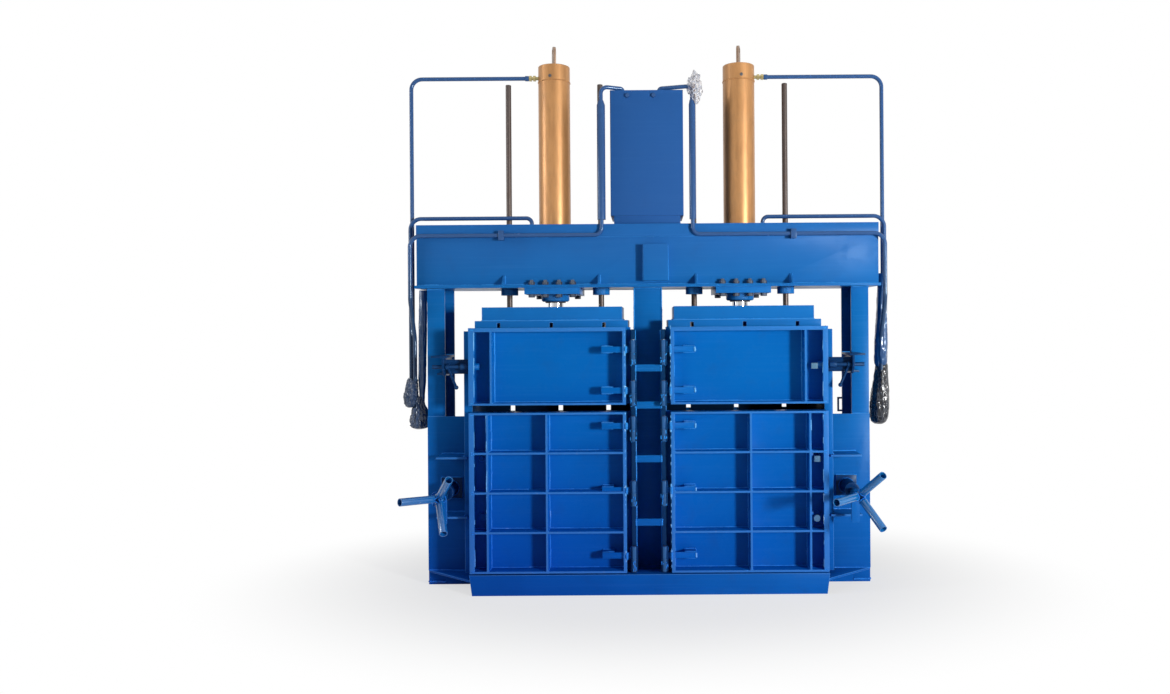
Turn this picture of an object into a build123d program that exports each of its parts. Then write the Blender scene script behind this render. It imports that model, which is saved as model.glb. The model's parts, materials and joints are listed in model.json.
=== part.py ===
from build123d import *
from math import cos, radians, sin
import os

# Twin-chamber vertical baling press, in millimetres. The origin is on the floor under the middle
# of the centre column, +Z is up and the doors face -Y. Each side piece is drawn on the +X side.

# Press chambers and their walls
chamber_width = 976
chamber_depth = 590
chamber_height = 1480
wall_thickness = 12
wall_overhang = 3
jamb_width = 40
slot_pitch = 327
floor_groove = 22
rear_slot_width = 30
rear_slot_margin = 45
rear_rib_depth = 60
rear_rib_thickness = 12
rear_rib_count = 5
rear_rib_first = 120

# Base frame
beam_height = 125
beam_depth = 114
beam_end_slant = 16
beam_end_inset = 6
beam_lead = 2
beam_wall = 12
floor_thickness = 12
girder_half_depth = 150
stub_width = 60
stub_inset = 60
stub_count = 4
gusset_thickness = 12
gusset_drop = 33
gusset_end_inset = 10

# Columns and their feet
column_gap = 190
column_width = 110
column_half_depth = 150
column_wall = 18
centre_width = 180
centre_gap = 10
foot_thickness = 16
anchor_radius = 13
anchor_y = 100

# Skirt plates between the columns and the chambers
skirt_thickness = 12
shelf_thickness = 12
shelf_reach = 180
shelf_jamb_overlap = 21
shelf_column_overlap = 20
shelf_upper_lift = 215
shelf_lower_drop = 151

# Crosshead
head_room = 287
crosshead_height = 383
crosshead_overhang = 58
crosshead_half_depth = 180
crosshead_plate = 18
top_strip_height = 79
top_strip_thickness = 10
lip_reach = 60
lip_edge = 12
lip_gusset_height = 67
lip_gusset_thickness = 12
lip_gusset_places = (-294, 306)
cover_centre = 50
cover_width = 158
cover_depth = 54
cover_height = 230
cover_lift = 22
cover_edge = 3

# Rams
stroke = 900
barrel_outer_radius = 102.5
barrel_wall = 17.5
barrel_cap = 35
barrel_spare = 376
barrel_edge = 3
nose_edge = 8
rod_radius = 50
rod_spigot_radius = 34
rod_spigot_end = 10
piston_height = 70
piston_top_gap = 60
piston_groove = 6
gland_width = 345
gland_half_depth = 228
gland_thickness = 40
gland_nose_radius = 90
gland_nose_height = 42
flange_bolt_radius = 12
flange_bolt_x = (-129, -43, 43, 129)
bolt_head_width = 36
bolt_head_height = 20
bolt_end = 12
bolt_hole_clearance = 0.5
running_clearance = 0.06
piston_clearance = 0.3

# Guide rods and their bushes
guide_radius = 18
guide_share = 0.3053
guide_offset = round(guide_share * chamber_width)
guide_spare = 27
bush_flange_radius = 55
bush_sleeve_radius = 28
bush_flange_height = 40
bush_sleeve_height = 60
guide_clearance = 0.1
guide_hole_gap = 6
guide_rod_edge = 2

# Platens
platen_side_gap = 14
platen_end_gap = 10
platen_lift = 16
platen_base_height = 47
platen_groove_height = 33
tray_inset = 36
tray_end_inset = 45
tray_height = 85
tray_wall = 12
tray_rib_x = 205
rod_flange_radius = 90
rod_flange_height = 30

# Doors
hinge_inset = 20
hinge_setback = 10
knuckle_radius = 22
pin_radius = 10
pin_head = 5
pin_clearance = 0.06
knuckle_length = 74
knuckle_gap = 1
door_outer_lap = 3
door_inner_lap = 4
door_seat_gap = 0.5
door_panel = 12
door_depth = 112
rib_thickness = 12
inner_stile_inset = 24
inner_stile_width = 20
outer_stile_web = 12
outer_stile_lip = 31
outer_stile_lip_thickness = 10
door_floor_gap = 9
upper_door_height = 470
door_split = 46
upper_door_lap = 19
upper_rail_lip = 24
lower_rib_count = 3
centre_rib_shift = 20
lower_latch_rib_inset = 108
upper_latch_rib_inset = 133
strap_height = 36
strap_thickness = 16
strap_reach = 173
strap_packing = 70
upper_strap_places = (334, 85)
lower_strap_top_inset = 84
lower_strap_middle_drop = -12
lower_strap_bottom_inset = 102

# Hinge posts and the rungs between them
post_width = 26
post_gap = 4
post_rise = 5
rung_height = 42
rung_thickness = 12
rung_setback = 2
rung_shares = (0.844, 0.691, 0.4695, 0.208)

# Screw locks of the lower doors
lock_reach = 146
lock_drop = 6
spindle_radius = 18
spindle_tail = 115
spindle_edge = 4
lock_pad_width = 130
lock_pad_thickness = 16
boss_radius = 46
boss_length = 183
dog_lead = 24
dog_thickness = 16
dog_width = 50
dog_eye = 4
dog_length = 180
dog_corner = 10
collar_radius = 25
collar_thickness = 12
washer_radius = 35
washer_thickness = 4
lock_gap = 0.3
hub_radius = 32
hub_length = 120
hub_edge = 5
handle_radius = 23
handle_wall = 4
handle_root = 30
handle_tip_radius = 178
handle_rake = 205
handle_bore_depth = 215
right_star_angle = 60
left_star_angle = 54

# Sliding bolts of the upper doors
latch_lift = 234
latch_setback = 61
latch_radius = 12
latch_tip_gap = 6
latch_length = 223
latch_clearance = 0.4
latch_nose = 4
guide_tube_radius = 22
guide_tube_gap = 6
guide_tube_length = 42
bracket_reach = 142
bracket_plate = 12
bracket_lead = 40
bracket_drop = 56
bracket_rise = 68
bracket_shelf_inner = 16
bracket_shelf_outer = 29
bracket_tab = 90
lever_gap = 14
lever_collar_radius = 19
lever_collar_width = 22
lever_radius = 8
lever_drop = 118
lever_lean = 54
lever_knob_radius = 13
keeper_length = 44
keeper_radius = 21
keeper_clearance = 1

# Stop bolts in the recess of each lower door
stop_bolt_inset = 63
stop_bolt_upper_lift = 690
stop_bolt_lower_lift = 329
stop_bolt_radius = 21
stop_bolt_height = 18
stop_bolt_side = 25

# Lifting eyes
eye_thickness = 16
eye_width = 66
eye_height = 135
eye_hole_radius = 15
eye_turn = 74

# Pipes
pipe_radius = 13
pipe_bend = 70
port_drop = 70
fitting_length = 60
fitting_radius = 19
fitting_width = 16
fitting_stem_radius = 11
cap_pipe_reach = 72
rod_pipe_reach = 145
rod_pipe_port_lift = 98
rod_pipe_rise = 56
rod_pipe_y = -46
rod_pipe_hole_gap = 1
rod_port_bend = 24
rod_riser_bend = 36
supply_pipe_gap = 13
supply_inlet_right = 80
supply_inlet_left = 150
supply_inlet_radius = 10
supply_pipe_side_gap = 57
supply_pipe_run_gap = 9
supply_pipe_drop_reach = 36
supply_pipe_rise = 20
supply_pipe_turn_in = 60
supply_side_bend = 45
supply_top_bend = 18
bundle_y = -92
bundle_bend = 90
bundle_start = 1800
bundle_end = 1560
clamp_reach = 318
clamp_width = 34
clamp_cover = 7
clamp_half_height = 30
clamp_clearance = 0.3
wrap_right = (1340, 1010)
wrap_left_supply = (1290, 1138)
wrap_left_bundle = (1150, 964)
wrap_right_width = 128
wrap_left_width = 116
wrap_margin = 110
wrap_lone_width = 78

# Oil tank and power unit
tank_width = 460
tank_depth = 340
tank_height = 790
tank_wall = 4
tank_edge = 4
tank_lead = 10
plinth_height = 52
plinth_inset = 20
deck_height = 400
motor_radius = 100
motor_height = 290
motor_flange_radius = 125
motor_flange_thickness = 14
motor_fin_count = 12
motor_fin_depth = 8
pump_radius = 48
pump_height = 190
pump_hole_gap = 6

# Places across the machine
centre_half_width = centre_width / 2
inner_face = centre_half_width + centre_gap + wall_thickness
chamber_offset = inner_face + chamber_width / 2
outer_face = chamber_offset + chamber_width / 2
outer_wall_face = outer_face + wall_thickness
beam_half_length = outer_wall_face - beam_end_inset
column_inner = outer_wall_face + column_gap
column_outer = column_inner + column_width
crosshead_half_length = column_outer + crosshead_overhang
hinge_x = inner_face - hinge_inset
door_outer = outer_face + door_outer_lap
door_inner = inner_face - door_inner_lap
inner_stile = (inner_face + inner_stile_inset, inner_face + inner_stile_inset + inner_stile_width)
strap_end = inner_face + strap_reach
lock_x = outer_wall_face + lock_reach
bracket_x = outer_wall_face + bracket_reach
lever_x = bracket_x - lever_gap
latch_tip = door_outer + latch_tip_gap
guide_tube = (outer_wall_face + guide_tube_gap, outer_wall_face + guide_tube_gap + guide_tube_length)
cap_pipe_x = crosshead_half_length + cap_pipe_reach
port_start = chamber_offset + barrel_outer_radius
port_end = port_start + fitting_length
rod_pipe_riser = chamber_offset + rod_pipe_reach
supply_pipe_drop_x = crosshead_half_length + supply_pipe_drop_reach
supply_pipe_side_x = tank_width / 2 + supply_pipe_side_gap
clamp_x = chamber_offset + clamp_reach
stop_bolt_x = door_outer - stop_bolt_inset

# Places from front to back
wall_front = -chamber_depth / 2 - wall_overhang
wall_rear = chamber_depth / 2
door_back = wall_front - door_seat_gap
panel_front = door_back - door_panel
rib_front = door_back - door_depth
beam_front = rib_front - beam_lead
beam_back = beam_front + beam_depth
hinge_y = rib_front + hinge_setback
post_front = hinge_y + knuckle_radius + post_gap
dog_front = rib_front - dog_lead
collar_front = dog_front + dog_thickness + lock_gap
hub_front = dog_front - 2 * lock_gap - washer_thickness - hub_length
skirt_front = -column_half_depth - skirt_thickness
boss_front = skirt_front - boss_length
latch_y = door_back - latch_setback
strip_front = -crosshead_half_depth - top_strip_thickness
flange_half_depth = crosshead_half_depth + lip_reach
flange_bolt_y = flange_half_depth - bolt_head_width
supply_pipe_y = strip_front - supply_pipe_gap
tank_front = -crosshead_half_depth - tank_lead
tank_back = tank_front + tank_depth
tank_middle = tank_front + tank_depth / 2

# Heights
floor_top = beam_height
floor_bottom = floor_top - floor_thickness
gusset_top = floor_top - gusset_drop
chamber_top = floor_top + chamber_height
crosshead_bottom = chamber_top + head_room
crosshead_top = crosshead_bottom + crosshead_height
flange_underside = crosshead_bottom - crosshead_plate
platen_bottom = chamber_top + platen_lift
platen_slab_top = platen_bottom + platen_base_height
piston_bottom = flange_underside + barrel_spare + stroke
piston_top = piston_bottom + piston_height
barrel_inside_top = piston_top + piston_top_gap
barrel_top = barrel_inside_top + barrel_cap
guide_top = crosshead_top + stroke + guide_spare
gland_bottom = flange_underside - gland_thickness
port_z = barrel_top - port_drop
lower_door_bottom = floor_top + door_floor_gap
upper_door_top = chamber_top + upper_door_lap
upper_door_bottom = upper_door_top - upper_door_height
lower_door_top = upper_door_bottom - door_split
lower_door_height = lower_door_top - lower_door_bottom
lower_door_middle = lower_door_bottom + lower_door_height / 2
skirt_top = gusset_top + lower_door_height
lock_z = lower_door_middle - lock_drop
upper_strap_heights = [upper_door_bottom + place for place in upper_strap_places]
lower_strap_heights = [
    lower_door_top - lower_strap_top_inset, lower_door_middle - lower_strap_middle_drop,
    lower_door_bottom + lower_strap_bottom_inset,
]
strap_heights = upper_strap_heights + lower_strap_heights
shelf_upper_top = lock_z + shelf_upper_lift
shelf_lower_top = lock_z - shelf_lower_drop
latch_z = upper_door_bottom + latch_lift
rod_pipe_port_z = crosshead_bottom + rod_pipe_port_lift
rod_pipe_z = crosshead_top + rod_pipe_rise
supply_pipe_run_z = crosshead_top - top_strip_height + supply_pipe_run_gap
tank_bottom = crosshead_top + plinth_height
tank_top = tank_bottom + tank_height
deck_z = tank_bottom + deck_height

# Inner radii and pitches
barrel_inner_radius = barrel_outer_radius - barrel_wall
rear_rib_pitch = (chamber_height - 2 * rear_rib_first) / (rear_rib_count - 1)


def slab(x, y, z):
    """A square-edged plate or bar between three pairs of limits."""
    (x0, x1), (y0, y1), (z0, z1) = x, y, z
    return Pos((x0 + x1) / 2, (y0 + y1) / 2, (z0 + z1) / 2) * Box(x1 - x0, y1 - y0, z1 - z0)


def bar(radius, start, end):
    """A round bar from one point to another."""
    run = Vector(*end) - Vector(*start)
    return extrude(Plane(origin=start, z_dir=run) * Circle(radius), run.length)


def upright(points, bottom, top):
    """A plan outline raised from one height to another."""
    return extrude(Pos(0, 0, bottom) * make_face(Polyline(*points, close=True)), top - bottom)


def cross_section(points, start, end):
    """An outline of (y, z) points drawn along X from start to end."""
    outline = make_face(Polyline(*points, close=True))
    return extrude(Plane.YZ.offset(start) * outline, end - start)


def turned(points, x, y):
    """A half section of (radius, z) points spun about the upright line through x, y."""
    outline = Plane.XZ * make_face(Polyline(*points, close=True))
    return Pos(x, y, 0) * revolve(outline, Axis.Z)


def turned_along_y(points, x, z):
    """A half section of (radius, y) points spun about the line along Y through x, z."""
    outline = make_face(Polyline(*points, close=True))
    return Pos(x, 0, z) * revolve(outline, Axis.Y)


def pipe(points, bends):
    """A bent pipe along a route of points, one bend radius for each corner."""
    path = FilletPolyline(*points, radius=bends)
    section = Plane(origin=path @ 0, z_dir=path % 0) * Circle(pipe_radius)
    return sweep(section, path=path)


def mirrored(shape):
    """The same piece on the -X side."""
    return mirror(shape, about=Plane.YZ)


def pair(shape):
    """A piece and its mirror image, as two solids of one group."""
    return shape + mirrored(shape)


# Base frame


def base_beam():
    """Front beam: a channel open to the rear, with its ends leaning in towards the floor."""
    front, back = beam_front, beam_back
    section = (
        (front, 0), (back, 0), (back, beam_wall), (front + beam_wall, beam_wall),
        (front + beam_wall, beam_height - beam_wall), (back, beam_height - beam_wall),
        (back, beam_height), (front, beam_height),
    )
    beam = cross_section(section, -beam_half_length, beam_half_length)
    foot = beam_half_length - beam_end_slant
    outline = make_face(Polyline(
        (-foot, 0), (foot, 0), (beam_half_length, beam_height), (-beam_half_length, beam_height),
        close=True,
    ))
    return beam & extrude(Plane.XZ * outline, 2 * abs(front), both=True)


def cross_beams():
    """The box girder between the outer columns, and the stub channels that carry the floor."""
    half, wall = girder_half_depth, beam_wall
    girder = slab((-column_inner, column_inner), (-half, half), (0, floor_bottom))
    girder -= slab(
        (-column_inner, column_inner), (-half + wall, half - wall), (wall, floor_bottom - wall)
    )
    stubs = Part()
    reach = abs(beam_back)
    pitch = (chamber_width - 2 * stub_inset) / (stub_count - 1)
    for place in range(stub_count):
        middle = inner_face + stub_inset + place * pitch
        left, right = middle - stub_width / 2, middle + stub_width / 2
        stub = slab((left, right), (half, reach), (0, floor_bottom))
        stub -= slab((left + wall, right), (half, reach), (wall, floor_bottom - wall))
        stubs += pair(stub) + pair(mirror(stub, about=Plane.XZ))
    return Compound(children=[girder.solid(), *stubs.solids()])


def floor_strips():
    """Floor plates with a strap groove between each two."""
    strips = []
    edges = [inner_face]
    for step in (-1, 0, 1):
        groove = chamber_offset + step * slot_pitch
        edges += [groove - floor_groove / 2, groove + floor_groove / 2]
    edges.append(outer_face)
    for left, right in zip(edges[::2], edges[1::2]):
        strip = slab((left, right), (beam_back, wall_rear), (floor_bottom, floor_top))
        strips += [strip, mirrored(strip)]
    return Compound(children=[strip.solid() for strip in strips])


# Columns and skirts


def outer_column():
    """A channel open towards the chamber, on a foot plate with two anchor holes."""
    depth, wall = column_half_depth, column_wall
    outline = (
        (column_inner, -depth), (column_outer, -depth), (column_outer, depth), (column_inner, depth),
        (column_inner, depth - wall), (column_outer - wall, depth - wall),
        (column_outer - wall, wall - depth), (column_inner, wall - depth),
    )
    column = upright(outline, foot_thickness, flange_underside)
    foot = slab((column_inner, column_outer), (-depth, depth), (0, foot_thickness))
    middle = (column_inner + column_outer - wall) / 2
    for side in (-1, 1):
        foot -= Pos(middle, side * anchor_y, foot_thickness / 2) * Cylinder(
            anchor_radius, 2 * foot_thickness
        )
    return column + foot


def centre_column():
    """An I-section between the two chambers."""
    width, depth, wall = centre_half_width, column_half_depth, column_wall
    flanges = [
        slab((-width, width), sorted((side * depth, side * (depth - wall))), (0, 1))
        for side in (-1, 1)
    ]
    section = flanges[0] + flanges[1] + slab((-wall / 2, wall / 2), (-depth, depth), (0, 1))
    face = section.faces().sort_by(Axis.Z)[0]
    column = extrude(Pos(0, 0, floor_bottom) * face, flange_underside - floor_bottom, dir=(0, 0, 1))
    return column


def skirt():
    """The web plate in front of the column, its two lock shelves and the corner gusset below."""
    face, front = -column_half_depth, skirt_front
    jamb_edge = outer_wall_face + jamb_width
    shelf_front = front - shelf_reach + skirt_thickness
    plate = slab((outer_wall_face, column_outer), (front, face), (gusset_top, skirt_top))
    for top in (shelf_upper_top, shelf_lower_top):
        levels = (top - shelf_thickness, top)
        shelf = slab(
            (jamb_edge - shelf_jamb_overlap, column_inner + shelf_column_overlap),
            (shelf_front, front), levels,
        )
        plate += shelf - slab((outer_wall_face, jamb_edge), (wall_front, front), levels)
    web_back = beam_front + beam_wall
    tongue = beam_half_length - 1.5 * beam_end_slant
    gusset_end = column_outer - gusset_end_inset
    gusset = upright(
        (
            (tongue, web_back), (beam_half_length, web_back), (gusset_end, front), (gusset_end, face),
            (outer_wall_face, face), (outer_wall_face, beam_back), (tongue, beam_back),
        ),
        gusset_top - gusset_thickness, gusset_top,
    )
    return plate + gusset


# Chamber walls


def inner_wall():
    """The plain side wall beside the centre column."""
    return slab(
        (inner_face - wall_thickness, inner_face), (wall_front, wall_rear), (floor_bottom, chamber_top)
    )


def outer_wall():
    """The outer side wall, folded outwards at the front as the door's jamb."""
    jamb_edge, jamb_back = outer_wall_face + jamb_width, wall_front + wall_thickness
    outline = (
        (outer_face, wall_front), (jamb_edge, wall_front), (jamb_edge, jamb_back),
        (outer_wall_face, jamb_back), (outer_wall_face, wall_rear), (outer_face, wall_rear),
    )
    return upright(outline, floor_bottom, chamber_top)


def rear_wall():
    """The back wall, with a strap slot in line with each platen groove."""
    left, right = inner_face - wall_thickness, outer_wall_face
    wall = slab((left, right), (wall_rear, wall_rear + wall_thickness), (floor_top, chamber_top))
    for step in (-1, 0, 1):
        middle = chamber_offset + step * slot_pitch
        wall -= slab(
            (middle - rear_slot_width / 2, middle + rear_slot_width / 2),
            (wall_rear - 1, wall_rear + wall_thickness + 1),
            (floor_top + rear_slot_margin, chamber_top - rear_slot_margin),
        )
    return wall


def rear_ribs():
    """Flat bars across the back walls, on edge."""
    left, right = inner_face - wall_thickness, outer_wall_face
    back = wall_rear + wall_thickness
    ribs = []
    for step in range(rear_rib_count):
        bottom = floor_top + rear_rib_first + step * rear_rib_pitch
        rib = slab((left, right), (back, back + rear_rib_depth), (bottom, bottom + rear_rib_thickness))
        rib = chamfer(rib.edges().filter_by(Axis.Z).group_by(Axis.Y)[-1], rear_rib_depth / 2)
        ribs += [rib, mirrored(rib)]
    return Compound(children=[rib.solid() for rib in ribs])


# Crosshead


def crosshead():
    """A box girder with a bottom flange, lip gussets and an offset cover box on its face."""
    half, depth, plate = crosshead_half_length, crosshead_half_depth, crosshead_plate
    body = slab((-half, half), (-depth, depth), (crosshead_bottom, crosshead_top))
    body -= slab(
        (plate - half, half - plate), (plate - depth, depth - plate),
        (crosshead_bottom - plate, crosshead_top - plate),
    )
    body += slab(
        (-half, half), (-flange_half_depth, flange_half_depth), (flange_underside, crosshead_bottom)
    )
    body += slab((-half, half), (strip_front, -depth), (crosshead_top - top_strip_height, crosshead_top))
    cover_left = cover_centre - cover_width / 2
    cover_bottom = crosshead_bottom + cover_lift
    cover = slab(
        (cover_left, cover_left + cover_width), (-depth - cover_depth, -depth),
        (cover_bottom, cover_bottom + cover_height),
    )
    body += chamfer(cover.edges().group_by(Axis.Y)[0], cover_edge)
    gusset = cross_section(
        (
            (-depth, crosshead_bottom), (-flange_half_depth, crosshead_bottom),
            (-flange_half_depth, crosshead_bottom + lip_edge),
            (-depth, crosshead_bottom + lip_gusset_height),
        ),
        -lip_gusset_thickness / 2, lip_gusset_thickness / 2,
    )
    for side in (-1, 1):
        for place in lip_gusset_places:
            fin = Pos(side * (chamber_offset + place), 0, 0) * gusset
            body += fin + mirror(fin, about=Plane.XZ)
        middle = side * chamber_offset
        body -= Pos(middle, 0, crosshead_top) * Cylinder(
            barrel_outer_radius + bolt_hole_clearance, 3 * crosshead_height
        )
        for reach in (-guide_offset, guide_offset):
            body -= Pos(middle + reach, 0, crosshead_top) * Cylinder(
                guide_radius + guide_hole_gap, 4 * plate
            )
            body -= Pos(middle + reach, 0, crosshead_bottom) * Cylinder(
                bush_sleeve_radius + bolt_hole_clearance / 2, 4 * plate
            )
        body -= Pos(side * rod_pipe_riser, rod_pipe_y, crosshead_top) * Cylinder(
            pipe_radius + rod_pipe_hole_gap, 4 * plate
        )
        for bolt_x in flange_bolt_x:
            for bolt_y in (-flange_bolt_y, flange_bolt_y):
                body -= Pos(middle + bolt_x, bolt_y, crosshead_bottom) * Cylinder(
                    flange_bolt_radius + bolt_hole_clearance, 3 * plate
                )
    return body


# Rams


def cylinder_barrel():
    """A closed tube with a chamfered cap."""
    return turned(
        (
            (barrel_inner_radius, flange_underside), (barrel_outer_radius, flange_underside),
            (barrel_outer_radius, barrel_top - barrel_edge),
            (barrel_outer_radius - barrel_edge, barrel_top),
            (0, barrel_top), (0, barrel_inside_top), (barrel_inner_radius, barrel_inside_top),
        ),
        chamber_offset, 0,
    )


def gland_flange():
    """The square mounting flange below the crosshead, with the gland's round nose."""
    bottom = gland_bottom
    nose_bottom, nose = bottom - gland_nose_height, gland_nose_radius
    flange = slab(
        (chamber_offset - gland_width / 2, chamber_offset + gland_width / 2),
        (-gland_half_depth, gland_half_depth), (bottom, flange_underside),
    )
    flange += turned(
        (
            (0, bottom), (nose, bottom), (nose, nose_bottom + nose_edge),
            (nose - nose_edge, nose_bottom), (0, nose_bottom),
        ),
        chamber_offset, 0,
    )
    flange -= Pos(chamber_offset, 0, bottom) * Cylinder(
        rod_radius + running_clearance, 4 * gland_thickness
    )
    for bolt_x in flange_bolt_x:
        for bolt_y in (-flange_bolt_y, flange_bolt_y):
            flange -= Pos(chamber_offset + bolt_x, bolt_y, bottom) * Cylinder(
                flange_bolt_radius + bolt_hole_clearance, 4 * gland_thickness
            )
    return flange


def flange_bolts():
    """Hexagon bolts up through the flange and the crosshead's lip, with their nuts."""
    bottom = gland_bottom
    hexagon = RegularPolygon(bolt_head_width / 2, 6, major_radius=False)
    bolt = extrude(Pos(0, 0, bottom - bolt_head_height) * hexagon, bolt_head_height)
    bolt += extrude(Pos(0, 0, crosshead_bottom) * hexagon, bolt_head_height)
    shank_top = crosshead_bottom + bolt_head_height + bolt_end
    bolt += extrude(Pos(0, 0, bottom) * Circle(flange_bolt_radius), shank_top - bottom)
    bolts = []
    for side in (-1, 1):
        for bolt_x in flange_bolt_x:
            for bolt_y in (-flange_bolt_y, flange_bolt_y):
                bolts.append((Pos(side * chamber_offset + bolt_x, bolt_y, 0) * bolt).solid())
    return Compound(children=bolts)


def lifting_eyes():
    """A flat lug on each cylinder cap, nearly edge-on to the front."""
    shoulder = eye_height - eye_width / 2
    lug = Pos(0, barrel_top + shoulder / 2) * Rectangle(eye_width, shoulder)
    lug += Pos(0, barrel_top + shoulder) * Circle(eye_width / 2)
    lug -= Pos(0, barrel_top + shoulder) * Circle(eye_hole_radius)
    plate = extrude(Plane.XZ.offset(-eye_thickness / 2) * lug, eye_thickness)
    eye = Pos(chamber_offset, 0, 0) * (Rot(0, 0, eye_turn) * plate)
    return pair(eye)


def guide_bushes():
    """Flanged bushes in the crosshead's bottom flange."""
    bore = guide_radius + guide_clearance
    bottom = flange_underside - bush_flange_height
    bushes = []
    for reach in (-guide_offset, guide_offset):
        bush = turned(
            (
                (bore, bottom), (bush_flange_radius, bottom), (bush_flange_radius, flange_underside),
                (bush_sleeve_radius, flange_underside),
                (bush_sleeve_radius, flange_underside + bush_sleeve_height),
                (bore, flange_underside + bush_sleeve_height),
            ),
            chamber_offset + reach, 0,
        )
        bushes += [bush.solid(), mirrored(bush).solid()]
    return Compound(children=bushes)


def piston_rod():
    """The rod with its foot flange on the platen and its spigot through the piston."""
    return turned(
        (
            (0, platen_slab_top), (rod_flange_radius, platen_slab_top),
            (rod_flange_radius, platen_slab_top + rod_flange_height),
            (rod_radius, platen_slab_top + rod_flange_height), (rod_radius, piston_bottom),
            (rod_spigot_radius, piston_bottom), (rod_spigot_radius, piston_top + rod_spigot_end),
            (0, piston_top + rod_spigot_end),
        ),
        chamber_offset, 0,
    )


def piston():
    """The piston ring with two seal grooves."""
    radius = barrel_inner_radius - piston_clearance
    bore = rod_spigot_radius + running_clearance
    third = piston_height / 3
    groove = radius - piston_groove
    points = [(bore, piston_bottom), (radius, piston_bottom)]
    for step in (1, 2):
        middle = piston_bottom + step * third
        points += [
            (radius, middle - piston_groove), (groove, middle - piston_groove),
            (groove, middle + piston_groove), (radius, middle + piston_groove),
        ]
    points += [(radius, piston_top), (bore, piston_top)]
    return turned(points, chamber_offset, 0)


def guide_rods():
    """Two plain rods standing on the platen."""
    rods = []
    for reach in (-guide_offset, guide_offset):
        foot = (chamber_offset + reach, 0, platen_slab_top)
        stick = bar(guide_radius, foot, (chamber_offset + reach, 0, guide_top))
        rods.append(chamfer(stick.edges().group_by(Axis.Z)[-1], guide_rod_edge).solid())
    return Compound(children=rods)


def platen():
    """The press plate with three strap grooves below and a ribbed tray above."""
    half, depth = chamber_width / 2 - platen_side_gap, chamber_depth / 2 - platen_end_gap
    middle = chamber_offset
    plate = slab((middle - half, middle + half), (-depth, depth), (platen_bottom, platen_slab_top))
    for step in (-1, 0, 1):
        groove = middle + step * slot_pitch
        plate -= slab(
            (groove - floor_groove / 2, groove + floor_groove / 2), (-depth, depth),
            (platen_bottom, platen_bottom + platen_groove_height),
        )
    top = platen_slab_top + tray_height
    wide, deep = half - tray_inset, depth - tray_end_inset
    tray = slab((middle - wide, middle + wide), (-deep, deep), (platen_slab_top, top))
    tray -= slab(
        (middle - wide + tray_wall, middle + wide - tray_wall), (tray_wall - deep, deep - tray_wall),
        (platen_slab_top, top),
    )
    for side in (-1, 1):
        rib = middle + side * tray_rib_x
        tray += slab(
            (rib - tray_wall / 2, rib + tray_wall / 2), (tray_wall - deep, deep - tray_wall),
            (platen_slab_top, top),
        )
    return plate + tray


# Doors


def door_hinge_half(strap_z):
    """A door's strap, its packing and the knuckle that turns on the pin."""
    back = hinge_y + knuckle_radius
    strap = slab(
        (hinge_x, strap_end), (back - strap_thickness, back),
        (strap_z - strap_height / 2, strap_z + strap_height / 2),
    )
    strap += slab(
        (strap_end - strap_packing, strap_end), (back, panel_front),
        (strap_z - strap_height / 2, strap_z + strap_height / 2),
    )
    bottom = strap_z + knuckle_gap / 2 - strap_height / 2
    knuckle = bar(knuckle_radius, (hinge_x, hinge_y, bottom), (hinge_x, hinge_y, bottom + knuckle_length))
    return strap + knuckle


def hinge_bore(strap_z):
    """The bore through one door knuckle."""
    reach = 2 * knuckle_length
    return bar(
        pin_radius + pin_clearance, (hinge_x, hinge_y, strap_z - reach), (hinge_x, hinge_y, strap_z + reach)
    )


def door(bottom, top, rib_places, upright_places, strap_heights):
    """A ribbed door: panel, stiles, ribs on edge and hinge straps, welded as one."""
    panel = slab((door_inner, door_outer), (panel_front, door_back), (bottom, top))
    stile = slab(inner_stile, (rib_front, panel_front), (bottom, top))
    web = slab((door_outer - outer_stile_web, door_outer), (rib_front, panel_front), (bottom, top))
    lip = slab(
        (door_outer - outer_stile_lip, door_outer),
        (rib_front, rib_front + outer_stile_lip_thickness), (bottom, top),
    )
    frame = panel + stile + web + lip
    across = (inner_stile[1], door_outer - outer_stile_web)
    for low in (bottom, top - rib_thickness, *rib_places):
        frame += slab(across, (rib_front, panel_front), (low, low + rib_thickness))
    for middle in upright_places:
        frame += slab(
            (middle - rib_thickness / 2, middle + rib_thickness / 2), (rib_front, panel_front), (bottom, top)
        )
    for strap_z in strap_heights:
        frame += door_hinge_half(strap_z)
    for strap_z in strap_heights:
        frame -= hinge_bore(strap_z)
    return frame


def stop_bolts():
    """The square and the round bolt head in the recess beside the outer stile."""
    side = stop_bolt_side
    upper = lower_door_bottom + stop_bolt_upper_lift
    lower = lower_door_bottom + stop_bolt_lower_lift
    heads = Pos(stop_bolt_x, panel_front - stop_bolt_height / 2, upper) * Box(
        side, stop_bolt_height, side
    )
    heads += bar(
        stop_bolt_radius, (stop_bolt_x, panel_front, lower),
        (stop_bolt_x, panel_front - stop_bolt_height, lower),
    )
    clip_left = outer_face - lower_latch_rib_inset + rib_thickness / 2
    for height in (upper, lower):
        heads += slab(
            (clip_left, clip_left + stop_bolt_radius), (panel_front - 2 * stop_bolt_height, panel_front),
            (height - stop_bolt_radius, height + stop_bolt_radius),
        )
    return heads


def lower_door():
    """The lower door, with three middle ribs and two uprights."""
    pitch = (lower_door_top - rib_thickness - lower_door_bottom) / (lower_rib_count + 1)
    ribs = [lower_door_bottom + step * pitch for step in range(1, lower_rib_count + 1)]
    uprights = (chamber_offset + centre_rib_shift, outer_face - lower_latch_rib_inset)
    leaf = door(lower_door_bottom, lower_door_top, ribs, uprights, lower_strap_heights)
    return leaf + stop_bolts()


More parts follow.
